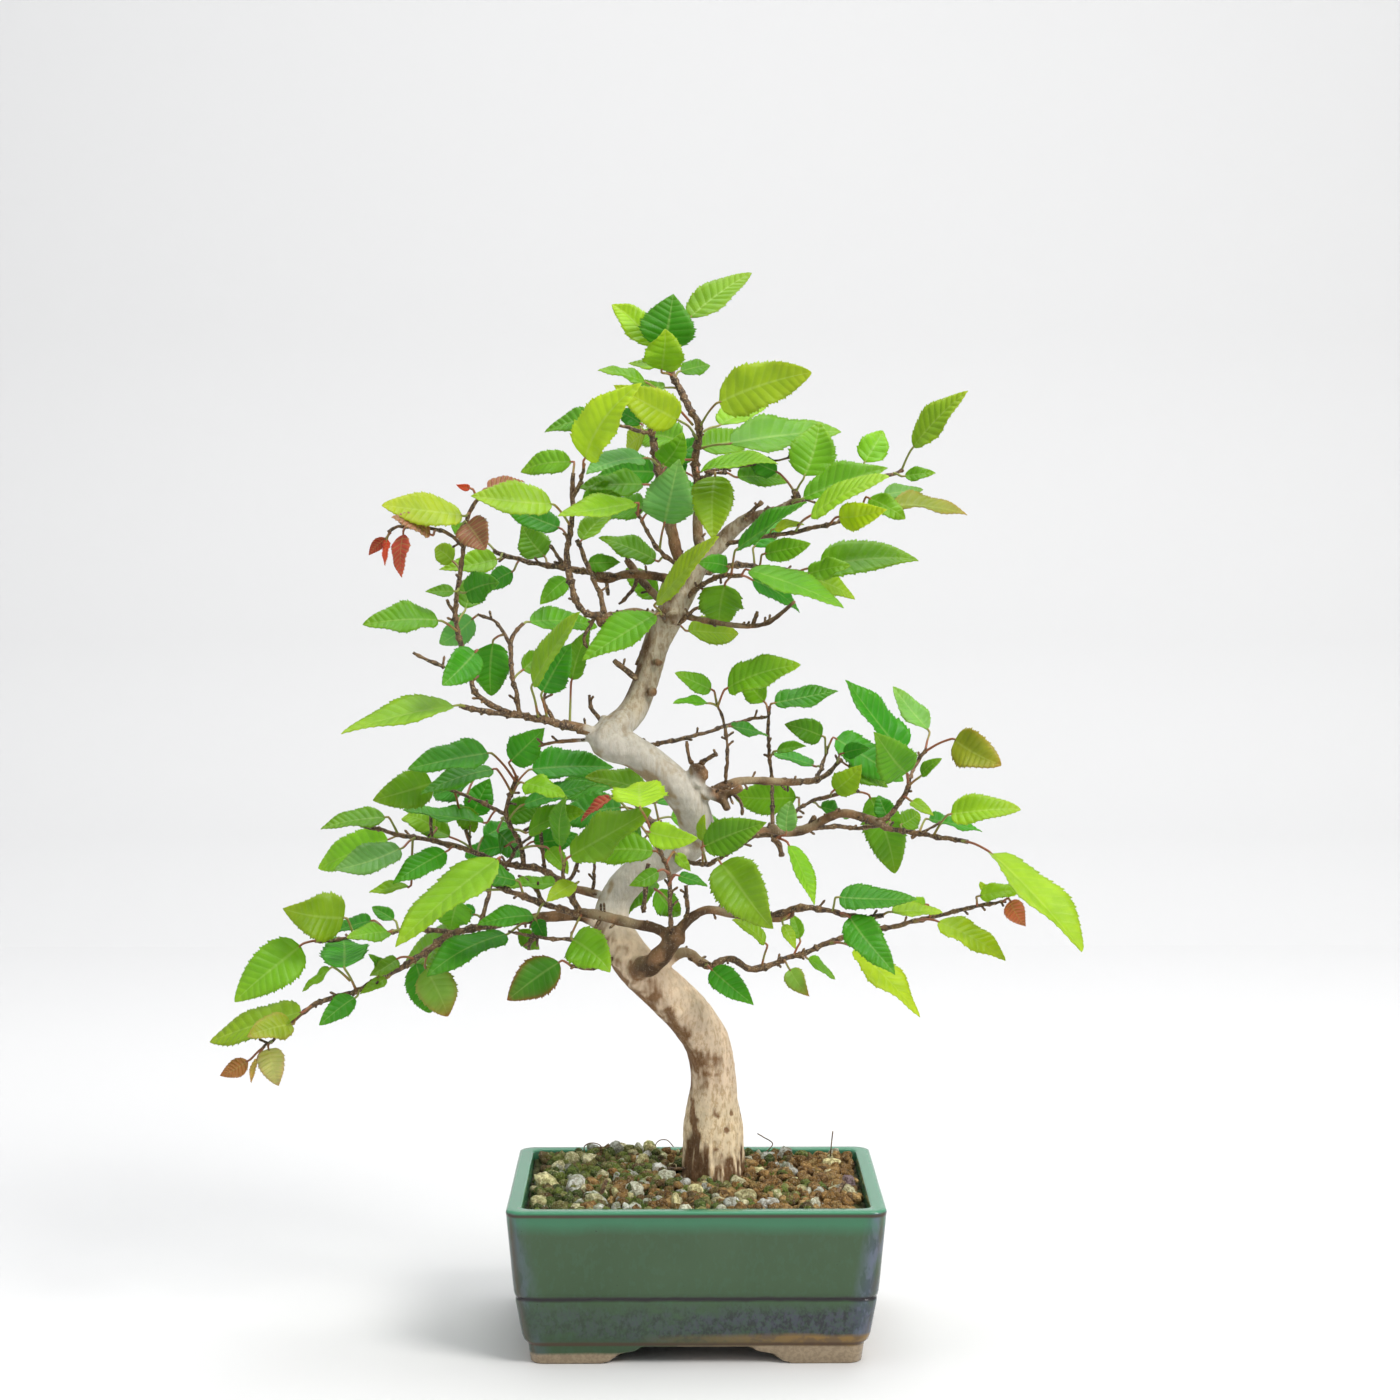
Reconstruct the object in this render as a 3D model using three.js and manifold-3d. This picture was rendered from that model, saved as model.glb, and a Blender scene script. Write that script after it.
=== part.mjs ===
// Korean hornbeam bonsai in a glazed pot: pot, drainage screens, soil, trunk with branches, leafy sprays.
// Millimetres, +Z up, +Y away from the front. The origin is the middle of the underside of the whole box
// that the tree and the pot fill.
import * as THREE from 'three';
import Module from 'manifold-3d';

const wasm = await Module();
wasm.setup();

// Driving dimensions of the pot.
const POT_WIDTH = 150;
const POT_DEPTH = 115.8;
const POT_HEIGHT = 63.2;
const RIM_WIDTH = 6.4;
const RIM_BEVEL = 1;
const BODY_BOTTOM = 7.9;
const FLOOR_TOP = 13;
const GROOVE_HEIGHT = 27.4;
const GROOVE_DEPTH = 1.1;
const CORNER_RADIUS = 6;
const INNER_CORNER_RADIUS = 4;
const CORNER_STEPS = 3;
const FOOT_WALL = 9;
const FOOT_GAP_FRONT = 77;
const FOOT_GAP_SIDE = 50;
const FOOT_GAP_TOP = 7;
const DRAIN_RADIUS = 7;
const DRAIN_SPACING = 64;

// Driving dimensions of the screens and the soil.
const SCREEN_SIDE = 24;
const SCREEN_THICKNESS = 1;
const SCREEN_HOLE = 6.4;
const SCREEN_STRAND = 2.4;
const SOIL_EDGE_HEIGHT = 58.5;
const SOIL_MOUND = 3.5;
const GRAIN_PITCH = 11.5;
const GRAIN_RELIEF = 3;
const STONE_SEED = 11;
const STONE_LIFT = 1.4;
const STONE_SQUASH = 0.8;

// Gap that pieces which touch keep between them.
const GAP = 0.3;

// Driving dimensions of the tree.
const CROWN_DEPTH = 1.6;
const BLADE_THICKNESS = 0.8;
const BLADE_SLIMNESS = 0.52;
const BLADE_FOLD = 0.22;
const BLADE_ARCH = 0.05;
const TOOTH_DEPTH = 0.13;
const SHORT_BLADE = 30;
const LONG_BLADE = 50;
const STEEPEST_ROLL = 1.1;
const STALK_WIDTH = 1.1;
const STALK_NECK = 1.4;
const SHARPEST_STALK = 0.5;
const TRUNK_SIDES = 10;
const ROOT_LOBES = 5;
const ROOT_LOBE_DEPTH = [0, 0.1, 0.16, 0.13, 0.06];
const STOUT_RADIUS = 2.55;

// Places on the tree are written as seen from the front: x and z where the line of sight meets the
// upright plane through the pot's middle, and how far the point lies behind that plane.
const EYE = new THREE.Vector3(-8.4, -1181, 344.3);

function place([x, z, behind]) {
  const seen = new THREE.Vector3(x, 0, z).sub(EYE);
  return seen.multiplyScalar(1 + (behind * CROWN_DEPTH) / -EYE.y).add(EYE);
}

// A small generator of repeatable draws between 0 and 1.
function draws(seed) {
  let state = seed;
  return () => {
    state = (state * 16807) % 2147483647;
    return state / 2147483647;
  };
}

function solid(positions, triangles) {
  const mesh = new wasm.Mesh({
    numProp: 3,
    vertProperties: new Float32Array(positions),
    triVerts: new Uint32Array(triangles),
  });
  return new wasm.Manifold(mesh);
}

function fuse(pieces) {
  return pieces.reduce((whole, piece) => whole.add(piece));
}

function node(name, body, color, roughness) {
  const cut = body.getMesh();
  const geometry = new THREE.BufferGeometry();
  geometry.setAttribute('position', new THREE.BufferAttribute(new Float32Array(cut.vertProperties), 3));
  geometry.setIndex(new THREE.BufferAttribute(new Uint32Array(cut.triVerts), 1));
  geometry.computeVertexNormals();
  const material = new THREE.MeshStandardMaterial({ color, roughness, metalness: 0 });
  const mesh = new THREE.Mesh(geometry, material);
  mesh.name = name;
  return mesh;
}

// Closed skin over a stack of outlines that all have the same number of points.
function skin(rings) {
  const count = rings[0].length;
  const positions = rings.flat(2);
  const triangles = [];
  for (let ring = 0; ring + 1 < rings.length; ring += 1) {
    for (let side = 0; side < count; side += 1) {
      const next = (side + 1) % count;
      const low = ring * count;
      const high = low + count;
      triangles.push(low + side, low + next, high + next);
      triangles.push(low + side, high + next, high + side);
    }
  }
  const last = (rings.length - 1) * count;
  for (let side = 1; side + 1 < count; side += 1) {
    triangles.push(0, side + 1, side);
    triangles.push(last, last + side, last + side + 1);
  }
  return solid(positions, triangles);
}

// Pot

function roundedRectangle(width, depth, radius, height) {
  const points = [];
  const corners = [[1, 1, 0], [-1, 1, 1], [-1, -1, 2], [1, -1, 3]];
  for (const [signX, signY, quarter] of corners) {
    for (let step = 0; step <= CORNER_STEPS; step += 1) {
      const angle = (quarter + step / CORNER_STEPS) * (Math.PI / 2);
      const x = signX * (width / 2 - radius) + radius * Math.cos(angle);
      const y = signY * (depth / 2 - radius) + radius * Math.sin(angle);
      points.push([x, y, height]);
    }
  }
  return points;
}

// Overall width of the wall's outside at each height; the depth is smaller by the same amount throughout.
const WIDTH_TO_DEPTH = POT_WIDTH - POT_DEPTH;
const OUTER_PROFILE = [
  [BODY_BOTTOM, 133.7], [12, 138.2], [GROOVE_HEIGHT - 0.7, 143.6],
  [GROOVE_HEIGHT, 143.8 - 2 * GROOVE_DEPTH], [GROOVE_HEIGHT + 0.7, 144.2],
  [POT_HEIGHT - RIM_BEVEL, POT_WIDTH], [POT_HEIGHT, POT_WIDTH - 2 * RIM_BEVEL],
];
const CAVITY_TOP_WIDTH = POT_WIDTH - 2 * RIM_WIDTH;
const CAVITY_PROFILE = [[POT_HEIGHT, CAVITY_TOP_WIDTH], [FLOOR_TOP + 7, 127], [FLOOR_TOP, 121]];

function potRing([height, width], radius, inset = 0) {
  return roundedRectangle(width - 2 * inset, width - WIDTH_TO_DEPTH - 2 * inset, radius, height);
}

function box(width, depth, low, high) {
  const rings = [low, high].map((z) => [
    [width / 2, depth / 2, z], [-width / 2, depth / 2, z],
    [-width / 2, -depth / 2, z], [width / 2, -depth / 2, z],
  ]);
  return skin(rings);
}

function cylinder(x, y, radius, low, high, sides = 12) {
  const rings = [low, high].map((z) => Array.from({ length: sides }, (_, side) => {
    const angle = (side / sides) * 2 * Math.PI;
    return [x + radius * Math.cos(angle), y + radius * Math.sin(angle), z];
  }));
  return skin(rings);
}

// The gap between two bracket feet: wide at the table, drawn in by a curve, and flat on top.
function footGap(width, length, acrossFront) {
  const half = width / 2;
  const outline = [[half, -1], [half, 0], [half - 8, 4.2], [half - 13, 4.8], [half - 19, FOOT_GAP_TOP]];
  const mirrored = outline.map(([across, z]) => [-across, z]).reverse();
  const profile = [...outline, ...mirrored];
  const rings = [length / 2, -length / 2].map((along) => profile.map(([across, z]) => (
    acrossFront ? [across, along, z] : [-along, across, z]
  )));
  return skin(rings);
}

function pot() {
  const outside = OUTER_PROFILE.map((section) => potRing(section, CORNER_RADIUS));
  const inside = CAVITY_PROFILE.map((section) => potRing(section, INNER_CORNER_RADIUS));
  const body = skin([...outside, ...inside]);
  const footRings = [[0, 131.6], [BODY_BOTTOM + 0.6, 133.5]];
  const ring = skin(footRings.map((section) => potRing(section, CORNER_RADIUS)));
  const well = box(131.6 - 2 * FOOT_WALL, 97.4 - 2 * FOOT_WALL, -1, BODY_BOTTOM);
  const frontGap = footGap(FOOT_GAP_FRONT, POT_DEPTH, true);
  const sideGap = footGap(FOOT_GAP_SIDE, POT_WIDTH, false);
  const feet = ring.subtract(well).subtract(frontGap).subtract(sideGap);
  const drains = [-1, 1].map((sign) => (
    cylinder((sign * DRAIN_SPACING) / 2, 0, DRAIN_RADIUS, 0, FLOOR_TOP + 1)
  ));
  return drains.reduce((whole, drain) => whole.subtract(drain), body.add(feet));
}

// Drainage screens

function screen(centre) {
  const low = FLOOR_TOP + GAP;
  const pitch = SCREEN_HOLE + SCREEN_STRAND;
  let net = box(SCREEN_SIDE, SCREEN_SIDE, low, low + SCREEN_THICKNESS);
  for (const across of [-0.5, 0.5]) {
    for (const along of [-0.5, 0.5]) {
      const hole = box(SCREEN_HOLE, SCREEN_HOLE, low - 1, low + SCREEN_THICKNESS + 1);
      net = net.subtract(hole.translate([across * pitch, along * pitch, 0]));
    }
  }
  return net.translate([centre, 0, 0]);
}

// Trunk and branches

// Each row: place as seen from the front, how far behind, and the radius.
const TRUNK = [
  [7.5, 22, 7, 9], [7.5, 46, 7, 11], [7.6, 62, 7, 13.6], [7.3, 76, 7, 12.4], [7.2, 88, 7, 11.2],
  [7.2, 106, 6, 9.5], [4.6, 119, 5, 9.6], [-3, 131, 3, 9.9], [-12, 140, 1, 9.6], [-22, 149, 0, 9.2],
  [-29, 158, 1, 8.8], [-34, 169, 5, 7.8], [-32, 179, 6, 7.4], [-24, 188.5, 4, 7.4], [-10, 196, 2, 7.6],
  [0, 204, 0, 7.8], [1, 214, -4, 8], [-4, 223.5, -7, 7.8], [-13, 232.5, -7, 7.3], [-24, 239, -6, 7.2],
  [-35, 241.8, -6, 7.9], [-39.5, 244, -6, 6.6], [-33, 248, -5, 6.4], [-26, 254.5, -1, 5.9],
  [-21.5, 264, 2, 5.6], [-18, 275, 3, 5.3], [-15.5, 284, 4, 5.7], [-12.5, 291, 4, 6.4],
  [-8.5, 298, 4, 5.8], [-5, 304, 5, 5.6], [-2, 310, 5, 5.4], [3, 317, 5, 4.6],
  [10, 323.5, 5, 4.2], [16, 330, 4, 3.8], [21, 335, 2, 3.3], [32, 335.8, -1, 2.8],
];

// Each stout branch: first and last radius, and the places along it.
const BRANCHES = [
  [5, 3.6, [[-27, 150, -2], [-17.7, 151.5, -9], [-11.7, 158, -13], [-7.4, 164, -14]]],
  [2.7, 2, [[-9.5, 161.5, -13.5], [-15, 166, -13], [-24, 168, -13], [-40, 172, -13.4]]],
  [3, 2.2, [[-33, 164, 4], [-46, 171.5, 2], [-62, 171, -1]]],
  [2.2, 1.7, [[-32, 178, 7], [-42, 181, 12], [-53.8, 184, 15]]],
  [2.2, 1.7, [[-10, 162, -13], [-2, 170.5, -12], [5.4, 174, -11], [18.7, 171.8, -12], [34, 170.5, -15]]],
  [2.4, 2, [[-16, 149, 2], [-5, 156.5, 0], [1, 153.5, 0.7]]],
  [2.7, 1.8, [[-1, 203, 0], [15, 205, 6], [32, 206, 10], [44.3, 206.8, 10], [58.3, 213.3, 8],
    [70.5, 211.3, 6]]],
  [2.3, 1.6, [[2, 219, -4], [11.6, 224.7, -1], [21.2, 226.9, 4], [37.6, 226.3, 10]]],
  [2.6, 2, [[-36, 244, -6], [-46, 248.3, -7.4]]],
  [1.2, 0.8, [[-40, 244, -6], [-57.3, 242.7, -5], [-64, 240.8, -4]]],
  [2.3, 1.9, [[-12, 292, 4], [-24, 295.3, 1], [-36, 293.5, -4]]],
  [2.2, 1.7, [[-4, 308, 6], [-25, 311, 9], [-36, 308.7, 9]]],
  [2, 1.7, [[-9, 298, 6], [-17, 303, 10], [-28, 318, 14]]],
  [2.8, 2, [[-2, 307, 5], [-7, 318, 7], [-10, 331, 8], [-12.5, 341, 8.8]]],
  [2.6, 2, [[4, 318, 5], [1, 326, 9], [1.3, 338, 9]]],
  [1.7, 1, [[-10, 295, 3], [0, 293, 0], [13, 290.5, -6], [28, 290.7, -8], [40.5, 300.5, -8]]],
];

// A round body along a curve through the points, with one ring of corners at each of them. It can be grown
// all round by the gap that its neighbours keep.
function limb(points, radii, sides, grow = 0, lobeAt = () => 0) {
  const curve = new THREE.CatmullRomCurve3(points, false, 'centripetal');
  const last = points.length - 1;
  let across = new THREE.Vector3(0.1, 1, 0.1);
  const rings = points.map((point, index) => {
    const along = index / last;
    const tangent = curve.getTangent(along);
    across = across.clone().addScaledVector(tangent, -across.dot(tangent)).normalize();
    const upward = new THREE.Vector3().crossVectors(tangent, across);
    const endShift = (index === last ? grow : 0) - (index === 0 ? grow : 0);
    const centre = point.clone().addScaledVector(tangent, endShift);
    return Array.from({ length: sides }, (_, side) => {
      const angle = (side / sides) * 2 * Math.PI;
      const reach = (radii[index] + grow) * (1 + lobeAt(index) * Math.cos(ROOT_LOBES * angle));
      const corner = centre.clone().addScaledVector(across, reach * Math.cos(angle));
      return corner.addScaledVector(upward, reach * Math.sin(angle)).toArray();
    });
  });
  return skin(rings);
}

function evenRadii(first, last, count) {
  return Array.from({ length: count }, (_, index) => first + ((last - first) * index) / (count - 1));
}

function branch([first, last, places], grow) {
  const points = places.map((point) => place(point));
  return limb(points, evenRadii(first, last, points.length), first > STOUT_RADIUS ? 6 : 5, grow);
}

function tree(grow) {
  const rootLobe = (index) => ROOT_LOBE_DEPTH[index] ?? 0;
  const points = TRUNK.map((row) => place(row));
  const trunk = limb(points, TRUNK.map((row) => row[3]), TRUNK_SIDES, grow, rootLobe);
  return fuse([trunk, ...BRANCHES.map((row) => branch(row, grow))]);
}

// Soil

// Pale stones on the soil, each row: x, y, radius.
const STONES = [
  [17, -7, 3.2], [20, -30, 4.4], [28, -40, 4.4], [47, -38, 3.8], [0, -20, 3.6], [-25, -18, 4.4],
  [-60, -3, 4.6], [-49, -11, 4.8], [-33, 44, 4.8], [38, 43, 4.2], [56, 12, 4], [62, -16, 3.8],
  [-15, 15, 3.2], [-22, 23, 3.6], [-44, 30, 3.6],
];

function soilHeight(x, y) {
  const out = Math.hypot(x / (POT_WIDTH / 2), y / (POT_DEPTH / 2));
  return SOIL_EDGE_HEIGHT + SOIL_MOUND * Math.max(0, 1 - out * out);
}

function stone(x, y, radius, next) {
  const ball = new THREE.IcosahedronGeometry(radius, 0).getAttribute('position');
  const corners = new Map();
  const positions = [];
  const triangles = [];
  for (let index = 0; index < ball.count; index += 1) {
    const point = new THREE.Vector3().fromBufferAttribute(ball, index);
    const key = point.toArray().map((value) => value.toFixed(2)).join();
    if (!corners.has(key)) {
      corners.set(key, corners.size);
      const swell = 0.85 + 0.3 * next();
      point.multiplyScalar(swell);
      positions.push(x + point.x, y + point.y, soilHeight(x, y) + STONE_LIFT + point.z * STONE_SQUASH);
    }
    triangles.push(corners.get(key));
  }
  return solid(positions, triangles);
}

function soil(trunkHole) {
  const next = draws(STONE_SEED);
  const columns = Math.round(POT_WIDTH / GRAIN_PITCH);
  const rows = Math.round(POT_DEPTH / GRAIN_PITCH);
  const positions = [];
  const triangles = [];
  for (let row = 0; row <= rows; row += 1) {
    for (let column = 0; column <= columns; column += 1) {
      const shiftX = (next() - 0.5) * GRAIN_PITCH * 0.5;
      const shiftY = (next() - 0.5) * GRAIN_PITCH * 0.5;
      const inside = column > 0 && column < columns && row > 0 && row < rows;
      const x = (column / columns - 0.5) * POT_WIDTH + (inside ? shiftX : 0);
      const y = (row / rows - 0.5) * POT_DEPTH + (inside ? shiftY : 0);
      const raised = (column + row) % 2 ? GRAIN_RELIEF * (0.4 + 0.6 * next()) : 0;
      positions.push(x, y, soilHeight(x, y) + raised);
    }
  }
  const stride = columns + 1;
  const rim = [];
  for (let column = 0; column < columns; column += 1) rim.push(column);
  for (let row = 0; row < rows; row += 1) rim.push(row * stride + columns);
  for (let column = columns; column > 0; column -= 1) rim.push(rows * stride + column);
  for (let row = rows; row > 0; row -= 1) rim.push(row * stride);
  for (let row = 0; row < rows; row += 1) {
    for (let column = 0; column < columns; column += 1) {
      const corner = row * stride + column;
      triangles.push(corner, corner + 1, corner + stride + 1);
      triangles.push(corner, corner + stride + 1, corner + stride);
    }
  }
  const floor = positions.length / 3;
  const bottom = FLOOR_TOP + SCREEN_THICKNESS + 2 * GAP;
  for (const top of rim) positions.push(positions[top * 3], positions[top * 3 + 1], bottom);
  const middle = positions.length / 3;
  positions.push(0, 0, bottom);
  rim.forEach((top, index) => {
    const following = (index + 1) % rim.length;
    triangles.push(top, floor + index, floor + following);
    triangles.push(top, floor + following, rim[following]);
    triangles.push(floor + index, middle, floor + following);
  });
  const grains = solid(positions, triangles);
  const stones = STONES.map(([x, y, radius]) => stone(x, y, radius, next));
  const mouth = [POT_HEIGHT + 20, CAVITY_TOP_WIDTH];
  const sections = [mouth, ...CAVITY_PROFILE].reverse();
  const room = sections.map((section) => potRing(section, INNER_CORNER_RADIUS, GAP));
  return fuse([grains, ...stones]).intersect(skin(room)).subtract(trunkHole);
}

// Leafy sprays

// Half-width of a blade along its length, as a share of its greatest half-width: rounded at the stalk,
// widest before the middle, drawn out to a point.
function bladeReach(along) {
  return Math.sin(Math.PI * along ** 0.72) ** 0.85;
}

// A toothed blade with its stalk, in one skin. The blade is folded along its midrib and arched. Its middle
// surface is raised and lowered by half the thickness, so both faces are split into the same triangles.
function leaf([start, from, to, seenWidth]) {
  const base = place(from);
  const forward = place(to).sub(base);
  const length = forward.length();
  forward.normalize();
  const width = Math.max(seenWidth, BLADE_SLIMNESS * length);
  const roll = Math.min(STEEPEST_ROLL, Math.acos(seenWidth / width));
  const facing = EYE.clone().sub(base);
  facing.addScaledVector(forward, -facing.dot(forward)).normalize();
  const turned = new THREE.Vector3().crossVectors(facing, forward);
  const lean = turned.z < 0 ? -roll : roll;
  const normal = facing.multiplyScalar(Math.cos(lean)).addScaledVector(turned, Math.sin(lean));
  const sideways = new THREE.Vector3().crossVectors(normal, forward);
  const middle = [];
  const add = (along, across) => {
    const lift = BLADE_FOLD * Math.abs(across) + BLADE_ARCH * length * 4 * along * (1 - along);
    const point = base.clone().addScaledVector(forward, along * length);
    point.addScaledVector(sideways, across).addScaledVector(normal, lift);
    return middle.push({ along, point }) - 1;
  };
  const teeth = length < SHORT_BLADE ? 2 : (length < LONG_BLADE ? 3 : 4);
  const margin = [[0, STALK_WIDTH / width]];
  for (let tooth = 0; tooth < teeth; tooth += 1) {
    const notch = 0.05 + (0.9 * tooth) / teeth;
    const point = notch + 0.62 / teeth;
    margin.push([notch, bladeReach(notch) * (1 - TOOTH_DEPTH)]);
    margin.push([point, bladeReach(point) * (1 + TOOTH_DEPTH * 0.5)]);
  }
  const left = margin.map(([along, reach]) => add(along, (reach * width) / 2));
  const right = margin.map(([along, reach]) => add(along, (-reach * width) / 2));
  const rib = add(0.48, 0);
  const tip = add(1, 0);
  const upper = [left[0], rib, right[0]];
  for (let index = 0; index + 1 < margin.length; index += 1) {
    upper.push(left[index], left[index + 1], rib);
    upper.push(right[index], rib, right[index + 1]);
  }
  upper.push(left.at(-1), tip, rib, right.at(-1), rib, tip);
  const positions = [];
  for (const sign of [1, -1]) {
    for (const { point } of middle) {
      positions.push(...point.clone().addScaledVector(normal, (sign * BLADE_THICKNESS) / 2).toArray());
    }
  }
  const count = middle.length;
  const triangles = [];
  for (let corner = 0; corner < upper.length; corner += 3) {
    const [a, b, c] = upper.slice(corner, corner + 3);
    triangles.push(a, c, b, a + count, b + count, c + count);
  }
  const edge = [...right, tip, ...left.toReversed()];
  for (let index = 0; index + 1 < edge.length; index += 1) {
    const [a, b] = edge.slice(index, index + 2);
    triangles.push(a, a + count, b + count, a, b + count, b);
  }
  const stalkEnd = [left[0], right[0], right[0] + count, left[0] + count];
  const root = place(start);
  const straight = base.clone().sub(root).normalize().dot(forward) > SHARPEST_STALK;
  const neck = base.clone().addScaledVector(forward, straight ? 0 : -STALK_NECK);
  const run = neck.clone().sub(root).normalize();
  const turnTo = (direction) => {
    const turn = new THREE.Quaternion().setFromUnitVectors(forward, direction);
    return [sideways.clone().applyQuaternion(turn), normal.clone().applyQuaternion(turn)];
  };
  const rings = [[root, ...turnTo(run)]];
  if (!straight) rings.unshift([neck, ...turnTo(run.clone().add(forward).normalize())]);
  let previous = stalkEnd;
  for (const [centre, wide, high] of rings) {
    const ring = [[1, 1], [-1, 1], [-1, -1], [1, -1]].map(([acrossSign, upSign]) => {
      const corner = centre.clone().addScaledVector(wide, (acrossSign * STALK_WIDTH) / 2);
      corner.addScaledVector(high, (upSign * BLADE_THICKNESS) / 2);
      return positions.push(...corner.toArray()) / 3 - 1;
    });
    ring.forEach((corner, side) => {
      const next = (side + 1) % 4;
      triangles.push(previous[next], previous[side], corner, previous[next], corner, ring[next]);
    });
    previous = ring;
  }
  triangles.push(previous[0], previous[2], previous[1], previous[0], previous[3], previous[2]);
  return solid(positions, triangles);
}

const LEAF_GREEN = '#5f9c2c';
const LEAF_BRIGHT = '#8fbf35';
const LEAF_YOUNG = '#b5603a';

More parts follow.
